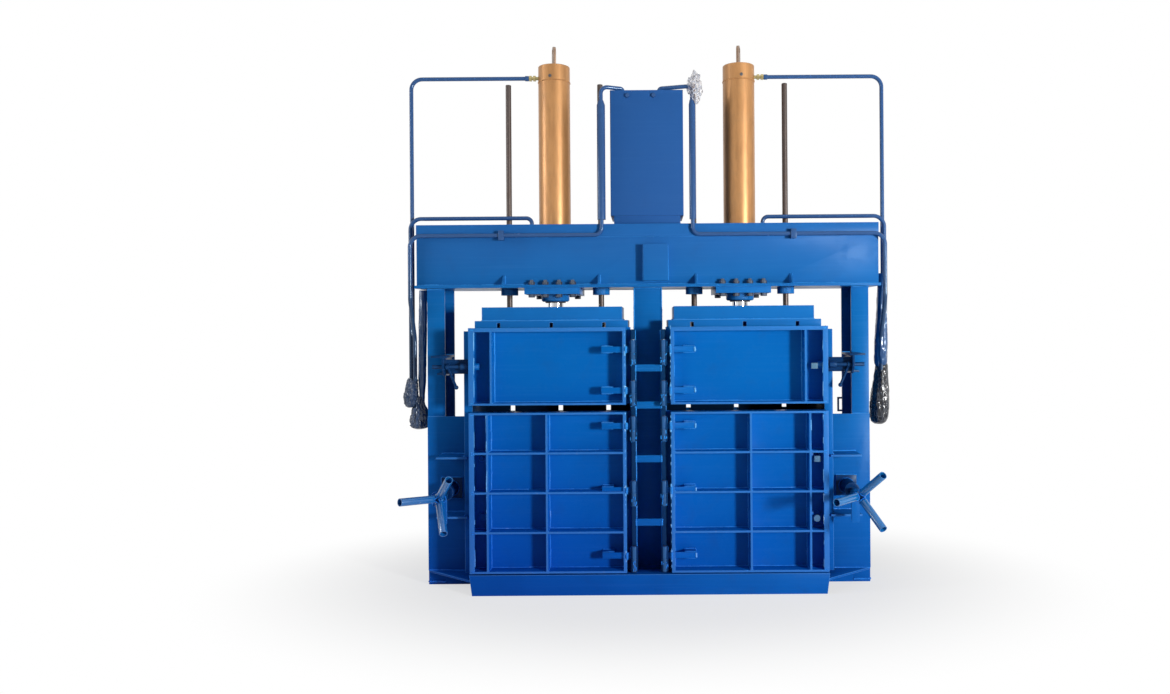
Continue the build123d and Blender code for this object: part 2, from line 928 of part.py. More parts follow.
def upper_door():
    """The upper door, with a deep top rail and the keeper for its sliding bolt."""
    uprights = (outer_face - upper_latch_rib_inset,)
    leaf = door(upper_door_bottom, upper_door_top, (), uprights, upper_strap_heights)
    leaf += slab(
        (inner_stile[1], door_outer - outer_stile_web), (rib_front, rib_front + outer_stile_lip_thickness),
        (upper_door_top - upper_rail_lip, upper_door_top),
    )
    web = door_outer - outer_stile_web
    leaf += bar(keeper_radius, (web - keeper_length, latch_y, latch_z), (web, latch_y, latch_z))
    leaf += slab(
        (web - keeper_length, web), (latch_y, panel_front), (latch_z - latch_radius, latch_z + latch_radius)
    )
    leaf -= bar(
        latch_radius + keeper_clearance, (web - keeper_length - 1, latch_y, latch_z),
        (door_outer + 1, latch_y, latch_z)
    )
    return leaf


def hinge_ladder():
    """Two posts joined by rungs, carrying the fixed hinge knuckles."""
    left, right = hinge_x - post_width / 2, hinge_x + post_width / 2
    post = slab((left, right), (post_front, wall_front), (floor_top, chamber_top + post_rise))
    for strap_z in strap_heights:
        top = strap_z - knuckle_gap / 2 - strap_height / 2
        bottom = top - knuckle_length
        post += bar(knuckle_radius, (hinge_x, hinge_y, bottom), (hinge_x, hinge_y, top))
        post += slab(
            (hinge_x - pin_radius, hinge_x + pin_radius), (hinge_y + 1.2 * pin_radius, post_front),
            (bottom, top),
        )
        post -= bar(pin_radius + pin_clearance, (hinge_x, hinge_y, bottom), (hinge_x, hinge_y, top))
    ladder = post + mirrored(post)
    rung_front = post_front + rung_setback
    for share in rung_shares:
        height = floor_top + share * chamber_height
        ladder += slab(
            (-left, left), (rung_front, rung_front + rung_thickness),
            (height - rung_height / 2, height + rung_height / 2),
        )
    return ladder


def hinge_pins():
    """A headed pin in each hinge."""
    pins = []
    for strap_z in strap_heights:
        middle = strap_z - strap_height / 2
        top = middle + knuckle_length + knuckle_gap
        pin = turned(
            (
                (0, middle - knuckle_length), (pin_radius, middle - knuckle_length), (pin_radius, top),
                (pin_radius + pin_head, top), (pin_radius + pin_head, top + pin_head), (0, top + pin_head),
            ),
            hinge_x, hinge_y,
        )
        pins += [pin.solid(), mirrored(pin).solid()]
    return Compound(children=pins)


# Screw locks


def lock_blocks():
    """The threaded boss of the lock spindle on its square pad on the skirt."""
    half = lock_pad_width / 2
    boss = slab(
        (lock_x - half, lock_x + half), (skirt_front - lock_pad_thickness, skirt_front),
        (lock_z - half, lock_z + half),
    )
    boss += bar(boss_radius, (lock_x, boss_front, lock_z), (lock_x, skirt_front, lock_z))
    boss -= bar(
        spindle_radius + running_clearance, (lock_x, boss_front - 1, lock_z),
        (lock_x, skirt_front + 1, lock_z),
    )
    return pair(boss)


def lock_spindle():
    """The lock screw with the collar behind its clamp bar."""
    tail = boss_front + spindle_tail
    return turned_along_y(
        (
            (0, hub_front), (spindle_radius, hub_front), (spindle_radius, collar_front),
            (collar_radius, collar_front), (collar_radius, collar_front + collar_thickness),
            (spindle_radius, collar_front + collar_thickness), (spindle_radius, tail - spindle_edge),
            (spindle_radius - spindle_edge, tail), (0, tail),
        ),
        lock_x, lock_z,
    )


def lock_washer():
    """The thrust washer between the clamp bar and the star handle."""
    back = dog_front - lock_gap
    bore = spindle_radius + lock_gap
    return turned_along_y(
        (
            (bore, back - washer_thickness), (washer_radius, back - washer_thickness),
            (washer_radius, back), (bore, back),
        ),
        lock_x, lock_z,
    )


def lock_dog():
    """The clamp bar, hanging down from the spindle when the door is free."""
    outline = Pos(lock_x, lock_z) * Circle(dog_width / 2 + dog_eye)
    outline += Pos(lock_x, lock_z - dog_length / 2) * Rectangle(dog_width, dog_length)
    outline -= Pos(lock_x, lock_z) * Circle(spindle_radius + lock_gap)
    bar_end = extrude(Plane.XZ.offset(-dog_front - dog_thickness) * outline, dog_thickness)
    return chamfer(bar_end.edges().filter_by(Axis.Y).group_by(Axis.Z)[0], dog_corner)


def star_handle(rest_angle):
    """A hub with three forward-raked tube handles."""
    back = hub_front + hub_length
    handle = turned_along_y(
        (
            (0, hub_front), (hub_radius - hub_edge, hub_front), (hub_radius, hub_front + hub_edge),
            (hub_radius, back), (0, back),
        ),
        lock_x, lock_z,
    )
    root_y = hub_front + handle_root
    tip_y = root_y - handle_rake
    bores = []
    for turn in range(3):
        angle = radians(rest_angle + 120 * turn)
        tip = Vector(
            lock_x + handle_tip_radius * cos(angle), tip_y, lock_z + handle_tip_radius * sin(angle)
        )
        along = (Vector(lock_x, root_y, lock_z) - tip).normalized()
        handle += bar(handle_radius, tuple(tip), (lock_x, root_y, lock_z))
        mouth = tip - along
        bores.append(bar(
            handle_radius - handle_wall, tuple(mouth), tuple(tip + along * handle_bore_depth)
        ))
    for bore in bores:
        handle -= bore
    handle -= bar(
        spindle_radius + running_clearance, (lock_x, hub_front - 60, lock_z), (lock_x, back + 1, lock_z)
    )
    return handle


# Sliding bolts


def latch_bracket():
    """The bracket on the column's face, with the tube that guides the sliding bolt."""
    face, front = -column_half_depth, latch_y - bracket_lead
    low, high = latch_z - bracket_drop, latch_z + bracket_rise
    plate_x = (bracket_x, bracket_x + bracket_plate)
    shelf = (bracket_x - bracket_shelf_inner, column_inner + bracket_shelf_outer)
    bracket = slab(plate_x, (front, face), (low, high))
    lower_front = bracket.edges().filter_by(Axis.X).group_by(Axis.Z)[0].sort_by(Axis.Y)[0]
    bracket = chamfer(lower_front, bracket_lead)
    bracket += slab(shelf, (front, face), (high - bracket_plate, high))
    bracket += slab((plate_x[1], shelf[1]), (face - bracket_tab, face), (low, low + bracket_plate))
    web_front = latch_y + guide_tube_radius - 0.5
    bracket += slab(
        (guide_tube[0], plate_x[0]), (web_front, web_front + bracket_plate),
        (latch_z - 2 * guide_tube_radius, latch_z + 2 * guide_tube_radius),
    )
    bracket += bar(guide_tube_radius, (guide_tube[0], latch_y, latch_z), (guide_tube[1], latch_y, latch_z))
    bracket -= bar(
        latch_radius + latch_clearance, (guide_tube[0] - 1, latch_y, latch_z),
        (plate_x[1] + 1, latch_y, latch_z),
    )
    return bracket


def upper_latch():
    """The sliding bolt with the lever that hangs from its collar."""
    bolt = bar(latch_radius, (latch_tip, latch_y, latch_z), (latch_tip + latch_length, latch_y, latch_z))
    bolt = chamfer(bolt.edges().group_by(Axis.X)[0], latch_nose)
    half = lever_collar_width / 2
    bolt += bar(lever_collar_radius, (lever_x - half, latch_y, latch_z), (lever_x + half, latch_y, latch_z))
    hand = (lever_x - lever_lean, latch_y, latch_z - lever_radius - lever_drop)
    bolt += bar(lever_radius, (lever_x, latch_y, latch_z), hand)
    bolt += Pos(*hand) * Sphere(lever_knob_radius)
    return bolt


# Pipes


def cap_pipe(bottom):
    """The pipe from a cylinder's cap, out over the side and down."""
    return pipe(
        ((port_end, 0, port_z), (cap_pipe_x, 0, port_z), (cap_pipe_x, 0, bottom)), [pipe_bend]
    )


def rod_pipe(bottom):
    """The pipe from the rod end, up through the crosshead, out and down."""
    start = chamber_offset + barrel_outer_radius
    return pipe(
        (
            (start, rod_pipe_y, rod_pipe_port_z), (rod_pipe_riser, rod_pipe_y, rod_pipe_port_z),
            (rod_pipe_riser, rod_pipe_y, rod_pipe_z), (cap_pipe_x, rod_pipe_y, rod_pipe_z),
            (cap_pipe_x, rod_pipe_y, bottom),
        ),
        [rod_port_bend, rod_riser_bend, pipe_bend],
    )


def supply_pipe(bottom, inlet_x):
    """The pipe from the tank's top, down its side, along the crosshead and down."""
    over = tank_top + supply_pipe_rise
    inlet_y = supply_pipe_y + supply_pipe_turn_in
    drop = supply_pipe_drop_x
    return pipe(
        (
            (inlet_x, inlet_y, tank_top), (inlet_x, inlet_y, over),
            (supply_pipe_side_x, supply_pipe_y, over),
            (supply_pipe_side_x, supply_pipe_y, supply_pipe_run_z),
            (drop, supply_pipe_y, supply_pipe_run_z),
            (drop, supply_pipe_y, bundle_start), (drop, bundle_y, bundle_end), (drop, bundle_y, bottom),
        ),
        [supply_top_bend, supply_side_bend, supply_side_bend, pipe_bend, bundle_bend, bundle_bend],
    )


def port_fittings():
    """The union with two hexagons at each cylinder's cap port."""
    start = port_start - 1
    stem = bar(fitting_stem_radius, (start, 0, port_z), (port_end, 0, port_z))
    stem -= Pos(chamber_offset, 0, port_z) * Cylinder(barrel_outer_radius, 4 * fitting_radius)
    for place in (0.42, 0.84):
        left = start + (port_end - start) * place - fitting_width / 2
        hexagon = Plane.YZ.offset(left) * RegularPolygon(fitting_radius, 6)
        stem += extrude(Pos(0, 0, port_z) * hexagon, fitting_width)
    return pair(stem)


def pipe_clamps():
    """A saddle clamp on the crosshead's face for each supply pipe."""
    back, strip_bottom = -crosshead_half_depth, crosshead_top - top_strip_height
    front = supply_pipe_y - pipe_radius - clamp_cover
    half = clamp_width / 2
    saddle = slab(
        (clamp_x - half, clamp_x + half), (front, back),
        (supply_pipe_run_z - clamp_half_height, strip_bottom),
    )
    saddle += slab(
        (clamp_x - half, clamp_x + half), (front, strip_front),
        (strip_bottom, supply_pipe_run_z + clamp_half_height),
    )
    saddle -= bar(
        pipe_radius + clamp_clearance, (clamp_x - clamp_width, supply_pipe_y, supply_pipe_run_z),
        (clamp_x + clamp_width, supply_pipe_y, supply_pipe_run_z),
    )
    return pair(saddle)


def film_bundle(x, y, top, bottom, wide, deep):
    """Film wrapped round pipe ends: narrow at the neck, full below and gathered at the foot."""
    drop = top - bottom
    rings = ((0, 0.62), (0.3, 0.95), (0.72, 1.0), (1, 0.55))
    sections = Sketch() + [
        Pos(x, y, top - drop * down) * Ellipse(wide * share / 2, deep * share / 2)
        for down, share in rings
    ]
    return loft(sections)


def pipe_wraps():
    """The film on the pipes' open ends."""
    middle = (cap_pipe_x + supply_pipe_drop_x) / 2
    deep = abs(bundle_y) + wrap_margin
    right = film_bundle(middle, bundle_y / 2, *wrap_right, wrap_right_width, deep)
    left = film_bundle(-cap_pipe_x, rod_pipe_y / 2, *wrap_left_bundle, wrap_left_width, wrap_left_width)
    lone = film_bundle(
        -supply_pipe_drop_x, bundle_y, *wrap_left_supply, wrap_lone_width, 0.8 * wrap_lone_width
    )
    return Compound(children=[right.solid(), left.solid(), lone.solid()])


# Oil tank and power unit


def oil_tank():
    """The sheet cabinet on its plinth, with the deck that carries the pump set."""
    half, wall, inset = tank_width / 2, tank_wall, plinth_inset
    body = slab((-half, half), (tank_front, tank_back), (tank_bottom, tank_top))
    body = chamfer(body.edges().filter_by(Axis.Z).group_by(Axis.Y)[0], tank_edge)
    for low, high in ((tank_bottom + wall, deck_z - wall), (deck_z, tank_top - wall)):
        body -= slab((wall - half, half - wall), (tank_front + wall, tank_back - wall), (low, high))
    body -= Pos(0, tank_middle, deck_z) * Cylinder(pump_radius + pump_hole_gap, 4 * wall)
    for inlet_x in (supply_inlet_right, -supply_inlet_left):
        inlet = Pos(inlet_x, supply_pipe_y + supply_pipe_turn_in, tank_top)
        body -= inlet * Cylinder(supply_inlet_radius, 4 * wall)
    plinth = slab(
        (inset - half, half - inset), (tank_front + inset, tank_back - inset), (crosshead_top, tank_bottom)
    )
    plinth -= slab(
        (2 * inset - half, half - 2 * inset), (tank_front + 2 * inset, tank_back - 2 * inset),
        (crosshead_top, tank_bottom),
    )
    return body + plinth


def pump_motor():
    """The upright finned motor on the tank's deck."""
    body = Circle(motor_radius)
    for fin in range(motor_fin_count):
        body += Rot(0, 0, 360 * fin / motor_fin_count) * (
            Pos(motor_radius, 0) * Rectangle(2 * motor_fin_depth, motor_fin_depth)
        )
    motor = extrude(Pos(0, 0, deck_z + motor_flange_thickness) * body, motor_height)
    motor += Pos(0, 0, deck_z + motor_flange_thickness / 2) * Cylinder(
        motor_flange_radius, motor_flange_thickness
    )
    return Pos(0, tank_middle, 0) * motor


def hydraulic_pump():
    """The pump hanging under the motor in the oil, with its suction tube."""
    return turned(
        (
            (0, deck_z), (pump_radius, deck_z), (pump_radius, deck_z - pump_height),
            (pump_radius / 3, deck_z - pump_height), (pump_radius / 3, deck_z - 1.6 * pump_height),
            (0, deck_z - 1.6 * pump_height),
        ),
        0, tank_middle,
    )


def export_all():
    """Write one file for each sub-part."""
    os.makedirs("parts", exist_ok=True)
    front_beam = base_beam()
    single = {
        "base_front_beam": front_beam,
        "base_rear_beam": mirror(front_beam, about=Plane.XZ),
        "base_cross_beams": cross_beams(),
        "floor_plates": floor_strips(),
        "centre_column": centre_column(),
        "rear_ribs": rear_ribs(),
        "crosshead": crosshead(),
        "flange_bolts": flange_bolts(),
        "lifting_eyes": lifting_eyes(),
        "guide_bushes": guide_bushes(),
        "hinge_post_ladder": hinge_ladder(),
        "hinge_pins": hinge_pins(),
        "lock_blocks": lock_blocks(),
        "inner_walls": pair(inner_wall()),
        "outer_walls": pair(outer_wall()),
        "gland_flanges": pair(gland_flange()),
        "latch_brackets": pair(latch_bracket()),
        "port_fittings": port_fittings(),
        "pipe_clamps": pipe_clamps(),
        "pipe_wraps": pipe_wraps(),
        "oil_tank": oil_tank(),
        "pump_motor": pump_motor(),
        "hydraulic_pump": hydraulic_pump(),
        "right_star_handle": star_handle(right_star_angle),
        "left_star_handle": mirrored(star_handle(180 - left_star_angle)),
    }
    both = {
        "outer_column": outer_column(),
        "skirt": skirt(),
        "rear_wall": rear_wall(),
        "cylinder_barrel": cylinder_barrel(),
        "piston_rod": piston_rod(),
        "piston": piston(),
        "guide_rods": guide_rods(),
        "platen": platen(),
        "lower_door": lower_door(),
        "upper_door": upper_door(),
        "lock_spindle": lock_spindle(),
        "lock_washer": lock_washer(),
        "lock_dog": lock_dog(),
        "upper_latch": upper_latch(),
    }
    ends = {
        "right": (wrap_right[0], wrap_right[0], wrap_right[0], supply_inlet_right),
        "left": (wrap_left_bundle[0], wrap_left_bundle[0], wrap_left_supply[0], supply_inlet_left),
    }
    pieces = dict(single)
    for name, shape in both.items():
        pieces["right_" + name] = shape
        pieces["left_" + name] = mirrored(shape)
    for side, (cap_end, rod_end, supply_end, inlet_x) in ends.items():
        turn = mirrored if side == "left" else (lambda shape: shape)
        pieces[side + "_cap_pipe"] = turn(cap_pipe(cap_end))
        pieces[side + "_rod_pipe"] = turn(rod_pipe(rod_end))
        pieces[side + "_supply_pipe"] = turn(supply_pipe(supply_end, inlet_x))
    for name, shape in pieces.items():
        export_step(shape, os.path.join("parts", name + ".step"))


export_all()
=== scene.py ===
"""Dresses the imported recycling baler: enamel, welds, fittings, film and a studio floor."""

import json
import math
import random

import bmesh
import bpy
from bpy.props import FloatProperty, FloatVectorProperty, IntProperty, PointerProperty
from mathutils import Matrix, Vector, noise

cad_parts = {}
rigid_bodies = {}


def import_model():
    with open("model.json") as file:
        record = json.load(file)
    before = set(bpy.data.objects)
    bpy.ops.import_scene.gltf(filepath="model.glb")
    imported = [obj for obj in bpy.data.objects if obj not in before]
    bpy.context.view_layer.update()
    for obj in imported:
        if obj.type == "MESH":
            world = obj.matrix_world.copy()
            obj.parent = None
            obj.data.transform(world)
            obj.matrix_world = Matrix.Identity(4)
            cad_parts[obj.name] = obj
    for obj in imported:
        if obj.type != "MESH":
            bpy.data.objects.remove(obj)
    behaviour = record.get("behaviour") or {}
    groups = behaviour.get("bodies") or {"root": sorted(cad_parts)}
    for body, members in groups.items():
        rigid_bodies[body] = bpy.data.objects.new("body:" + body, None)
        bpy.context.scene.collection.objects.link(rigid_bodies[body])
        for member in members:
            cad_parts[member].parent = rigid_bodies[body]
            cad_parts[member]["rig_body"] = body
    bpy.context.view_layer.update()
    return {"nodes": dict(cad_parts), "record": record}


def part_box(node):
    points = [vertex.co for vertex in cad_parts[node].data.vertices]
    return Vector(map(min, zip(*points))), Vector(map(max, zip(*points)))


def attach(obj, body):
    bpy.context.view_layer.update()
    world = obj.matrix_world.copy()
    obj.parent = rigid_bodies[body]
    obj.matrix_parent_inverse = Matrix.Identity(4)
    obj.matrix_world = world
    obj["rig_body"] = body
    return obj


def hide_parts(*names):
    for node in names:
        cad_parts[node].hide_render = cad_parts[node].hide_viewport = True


bl_info = {
    "name": "Recycling Baler Dresser",
    "version": (1, 0, 0),
    "blender": (4, 5, 0),
    "location": "View3D > Sidebar > Baler",
    "description": "Paints a twin-chamber baler and adds its welds, fittings and film",
    "category": "Object",
}

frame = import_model()

SIDES = (("right", 1), ("left", -1))

# Places of the structure, in metres
CHAMBER_X = 0.600
WALL_FACE = 1.100
PANEL_FRONT = -0.3105
RIB_FRONT = -0.4105
RIB = 0.012
INNER_STILE = (0.136, 0.156)
OUTER_WEB = (1.079, 1.091)
LIP_EDGE = 1.060
HINGE_X = 0.092
HINGE_Y = -0.4005
KNUCKLE_RADIUS = 0.0225
POST_FRONT = -0.3745
LOWER_RIBS = (0.134, 0.3745, 0.615, 0.8555, 1.096)
UPPER_RIBS = (1.154, 1.612)
LOWER_UPRIGHTS = (0.620, 0.980)
UPPER_UPRIGHTS = (0.955,)
LOWER_STRAPS = (1.024, 0.633, 0.236)
UPPER_STRAPS = (1.488, 1.239)
STRAP_PACKING = (0.215, 0.285)
STRAP_FRONT = -0.3945
RUNGS = (1.374, 1.148, 0.820, 0.433)
LOCK = Vector((1.246, -0.4345, 0.615))
SKIRT_FRONT = -0.162
COLUMN_FRONT = -0.1505
LATCH_Y, LATCH_Z = -0.3595, 1.388
REAR_FACE = 0.3072
GUIDE_REACH = 0.298
BARREL_RADIUS = 0.1015
INLETS = {"right": 0.080, "left": -0.150}
PLUGS = {"right": 0.009, "left": -0.016}

SHELVES = (0.830, 0.464)
REAR_RIBS = (0.245, 0.555, 0.865, 1.175, 1.485)
COLUMN_FOOT, COLUMN_TOP = 0.0165, 1.8735
# Zones whose faces get near-black painted shade: inside the chambers and on the hinge posts
CHAMBER_ZONE = ((0.111, 1.089), (-0.2995, 0.2955), (0.124, 1.606))
POST_ZONE = ((0.068, 0.116), (-0.425, -0.36))

# How much painted highlight a plate's end gets, and the angles in degrees over which an edge is
# kept or rounded
PLATE_END = 0.5
KEPT_ANGLE, ROUNDED_ANGLE = 38, 32

PLAIN = (1.0, 1.0, 1.0)
BROWN = (0.10, 0.06, 0.04)

# Name, colour or its setting, tone, painted edge highlight, chips, gloss, bump, specular, coat
ENAMELS = {
    "frame_paint": ("Frame enamel", "enamel", 0.34, 0.55, 0.28, 0.30),
    "door_paint": ("Door enamel", "door_enamel", 0.22, 0.62, 0.30, 0.27),
    "press_paint": ("Press enamel", "press_enamel", 0.30, 0.60, 0.5, 0.32),
    "lock_paint": ("Lock enamel", "enamel", 0.35, 0.30, 0.6, 0.28, 0.18, 0.12),
    "handle": ("Handle enamel", (0.005, 0.17, 0.42), 0.25, 0.30, 0.6, 0.20, 0.10, 0.8, 0.5),
    "tank_paint": ("Tank enamel", "tank_enamel", 0.25, 0.45, 0.15, 0.38, 0.10),
    "pipe_paint": ("Pipe enamel", "pipe_enamel", 0.30, 0.2, 0.2, 0.20, 0.08, 0.40, 0.1),
    # Painted shade: a near-black copy of the enamel for the latches and the lock's blocks, washers
    # and spindle
    "shaded": ("Latch enamel", (0.002, 0.030, 0.110), 0.35, 0.18, 0.6, 0.30, 0.18, 0.10),
    # The weld beads' blue is lighter than the enamel: a painted highlight along them
    "weld": ("Painted weld", "weld_enamel", 0.20, 0.0, 0.0, 0.26, 0.25, 0.12),
    # Painted glints: light-blue beads where the light would catch the welds
    "bright_weld": ("Bright weld", (0.13, 0.48, 0.86), 0.10, 0.0, 0.0, 0.16, 0.35, 1.0, 0.5),
    "bolt_face": ("Pale bolt paint", (0.10, 0.21, 0.31), 0.30, 0.0, 0.2, 0.40, 0.30, 0.10),
    "wrapped": ("Wrapped pipes", (0.010, 0.062, 0.190), 0.5, 0.0, 0.0, 0.22, 0.30, 0.50, 0.5),
}
# Name, colour or its setting, stain, its amount, grain, gloss, metallic, bump, coat, distance
METALS = {
    "eye_steel": ("Browned steel", (0.30, 0.20, 0.14), BROWN, 0.35, PLAIN, 0.32, 0.5),
    "cylinder_paint": (
        "Gold lacquer", "gold_lacquer", (0.30, 0.20, 0.10), 0.22, (0.7, 0.7, 0.10), 0.33, 0.45,
        0.06, 0.10,
    ),
    "chrome_rod": (
        "Ground chrome", (0.55, 0.56, 0.57), (0.20, 0.19, 0.18), 0.10, (1.0, 1.0, 6.0), 0.08,
    ),
    "bare_steel": ("Oiled steel", (0.32, 0.31, 0.30), BROWN, 0.35, PLAIN, 0.30),
    "guide_steel": (
        "Guide rod steel", "guide_steel", BROWN, 0.35, (1.0, 1.0, 0.06), 0.36, 0.50,
    ),
    "zinc_bolt": (
        "Zinc plate", (0.070, 0.090, 0.130), (0.03, 0.03, 0.04), 0.35, PLAIN, 0.36, 0.4,
    ),
    "fitting_brass": (
        "Yellow zinc", (0.42, 0.35, 0.17), (0.10, 0.08, 0.04), 0.35, PLAIN, 0.24,
    ),
    "cast_motor": (
        "Cast grey", (0.10, 0.11, 0.12), (0.03, 0.03, 0.03), 0.5, PLAIN, 0.55, 0.2, 0.5,
    ),
    "rubber": (
        "Wiper rubber", (0.012, 0.012, 0.013), (0.03, 0.03, 0.03), 0.3, PLAIN, 0.5, 0.0, 0.1,
        0.0, 0.0003,
    ),
}
# Name, colour or its setting, painted shine on the creases, alpha, bump, coat
FILMS = {
    "black_film": ("Black stretch film", "black_film", 0.10, 1.0, 0.45, 0.35),
    "blue_film": ("Blue stretch film", "blue_film", 0.08, 1.0, 0.45, 0.30),
    "clear_film": ("Clear stretch film", (0.66, 0.58, 0.57), 0.9, 0.20, 0.30),
}


# Settings a user would change


def colour_setting(name, description, default):
    """A colour."""
    return FloatVectorProperty(
        name=name, description=description, subtype="COLOR", size=3, min=0, max=1,
        default=default,
    )


def length_setting(name, description, low, high, default):
    """A length within its limits."""
    return FloatProperty(
        name=name, description=description, unit="LENGTH", min=low, max=high, default=default,
    )


def light_setting(name, description, default):
    """The power of a lamp or the strength of a light."""
    return FloatProperty(name=name, description=description, min=0, default=default)


class BALER_PG_paint(bpy.types.PropertyGroup):
    """Colours of the baler's finishes"""

    enamel: colour_setting("Frame enamel", "Blue of the welded frame", (0.0050, 0.136, 0.425))
    door_enamel: colour_setting("Door enamel", "Blue of the doors", (0.0018, 0.134, 0.470))
    press_enamel: colour_setting("Press enamel", "Blue of the platens", (0.010, 0.160, 0.490))
    # A painted highlight: the beads' blue is kept lighter than the door and frame enamel
    weld_enamel: colour_setting(
        "Weld enamel", "Blue of the paint over the weld beads", (0.034, 0.290, 0.740)
    )
    tank_enamel: colour_setting(
        "Tank enamel", "Duller blue of the oil tank", (0.014, 0.082, 0.272)
    )
    pipe_enamel: colour_setting("Pipe enamel", "Dark blue of the pipes", (0.014, 0.042, 0.108))
    gold_lacquer: colour_setting(
        "Cylinder lacquer", "Gold of the cylinders", (0.500, 0.245, 0.088)
    )
    guide_steel: colour_setting(
        "Guide rod steel", "Brown-grey of the drawn guide rods", (0.080, 0.062, 0.056)
    )
    black_film: colour_setting(
        "Black film", "Film round the right pipes' ends", (0.006, 0.007, 0.012)
    )
    blue_film: colour_setting(
        "Blue film", "Film round the left pipes' ends", (0.024, 0.050, 0.112)
    )


class BALER_PG_details(bpy.types.PropertyGroup):
    """Sizes of the small details"""

    weld_radius: length_setting(
        "Weld radius", "Half width of a fillet weld", 0.001, 0.012, 0.0060
    )
    weld_ripple: length_setting(
        "Weld ripple", "Length of one ripple along a weld", 0.003, 0.03, 0.0085
    )
    plate_edge: length_setting(
        "Plate edge", "Width of the rounding on a plate's edges", 0.0002, 0.005, 0.0019
    )
    nut_size: length_setting(
        "Pipe nut", "Half width of the pipes' compression nuts", 0.014, 0.03, 0.0195
    )
    thread_pitch: length_setting(
        "Thread pitch", "Distance between the lock screw's crests", 0.002, 0.012, 0.006
    )
    film_folds: IntProperty(
        name="Film folds", description="Folds round a film bundle", min=4, max=24, default=11,
    )


class BALER_PG_studio(bpy.types.PropertyGroup):
    """Light and camera of the studio"""

    key_power: light_setting("Key lamp", "Power of the lamp at the front right", 860)
    fill_power: light_setting("Fill lamp", "Power of the lamp at the front left", 22)
    top_power: light_setting("Top lamp", "Power of the lamp overhead", 30)
    side_power: light_setting(
        "Side lamp", "Power of the lamp at the left of the cylinders", 110
    )
    room_light: light_setting(
        "Room light", "Strength of the world away from the camera", 0.13
    )
    lens: FloatProperty(
        name="Lens", description="Focal length on a 36 mm sensor", min=10, max=200,
        default=27.93,
    )


def details():
    """The detail sizes in the scene."""
    return bpy.context.scene.baler_details


def both(middle, reach):
    """The points at either side of a middle."""
    return middle - reach, middle + reach


# Shader nodes


class Sheet:
    """Adds nodes to a shader tree; each value is a socket, a number or a tuple"""

    def __init__(self, tree):
        self.tree = tree

    def fill(self, node, inputs):
        """Links or sets a node's inputs."""
        for key, value in inputs.items():
            if isinstance(value, bpy.types.NodeSocket):
                self.tree.links.new(value, node.inputs[key])
            else:
                node.inputs[key].default_value = value

    def node(self, kind, inputs, **settings):
        """A new node."""
        made = self.tree.nodes.new("ShaderNode" + kind)
        for name, value in settings.items():
            setattr(made, name, value)
        self.fill(made, inputs)
        return made

    def place(self):
        """The point in the object's own axes."""
        return self.node("TexCoord", {}).outputs["Object"]

    def attribute(self, name):
        """A mark on the mesh."""
        return self.node("Attribute", {}, attribute_name=name).outputs["Fac"]

    def ramp(self, source, low, high):
        """A soft step from low to high."""
        ends = {"Value": source, "From Min": low, "From Max": high}
        return self.node("MapRange", ends, interpolation_type="SMOOTHSTEP").outputs["Result"]

    def maths(self, operation, first, second):
        """Two values joined by an operation."""
        return self.node("Math", {0: first, 1: second}, operation=operation).outputs[0]

    def times(self, first, second):
        """A product."""
        return self.maths("MULTIPLY", first, second)

    def plus(self, first, second):
        """A sum."""
        return self.maths("ADD", first, second)

    def mix(self, factor, first, second, blend="MIX"):
        """A colour mix; the second colour may be three numbers."""
        second = rgba(second) if isinstance(second, tuple) else second
        inputs = {0: factor, 6: first, 7: second}
        return self.node("Mix", inputs, data_type="RGBA", blend_type=blend).outputs[2]

    def noise(self, vector, scale, detail, rough=0.55):
        """A noise texture's factor."""
        inputs = {"Vector": vector, "Scale": scale, "Detail": detail, "Roughness": rough}
        return self.node("TexNoise", inputs).outputs["Fac"]

    def stretched(self, vector, scale):
        """The vector squeezed by a scale on each axis."""
        return self.node("Mapping", {"Vector": vector, "Scale": scale}).outputs["Vector"]

    def direct(self):
        """One where a thing is seen by the camera, in a mirror or through film."""
        rays = self.node("LightPath", {}).outputs
        seen = self.maths("MAXIMUM", rays["Is Camera Ray"], rays["Is Glossy Ray"])
        return self.maths("MAXIMUM", seen, rays["Is Transmission Ray"])

    def blend(self, factor, first, second, output):
        """A mix of two shaders, sent to the tree's output node."""
        inputs = {0: factor, 1: first.outputs[0], 2: second.outputs[0]}
        mixed = self.node("MixShader", inputs)
        self.fill(self.tree.nodes[output], {"Surface": mixed.outputs[0]})


def rgba(colour):
    """A colour with full alpha."""
    return (colour[0], colour[1], colour[2], 1)


def new_group(name, inputs, outputs=("Colour", "Roughness", "Height")):
    """An empty shader group: its sheet, its inputs and the sockets of its output node."""
    tree = bpy.data.node_groups.new(name, "ShaderNodeTree")
    for label, value in inputs.items():
        kind = "Float" if isinstance(value, float) else {3: "Vector", 4: "Color"}[len(value)]
        socket = tree.interface.new_socket(
            name=label, in_out="INPUT", socket_type="NodeSocket" + kind
        )
        socket.default_value = value
    for label in outputs:
        kind = "Color" if label == "Colour" else "Float"
        tree.interface.new_socket(name=label, in_out="OUTPUT", socket_type="NodeSocket" + kind)
    start, end = tree.nodes.new("NodeGroupInput"), tree.nodes.new("NodeGroupOutput")
    return Sheet(tree), start.outputs, end


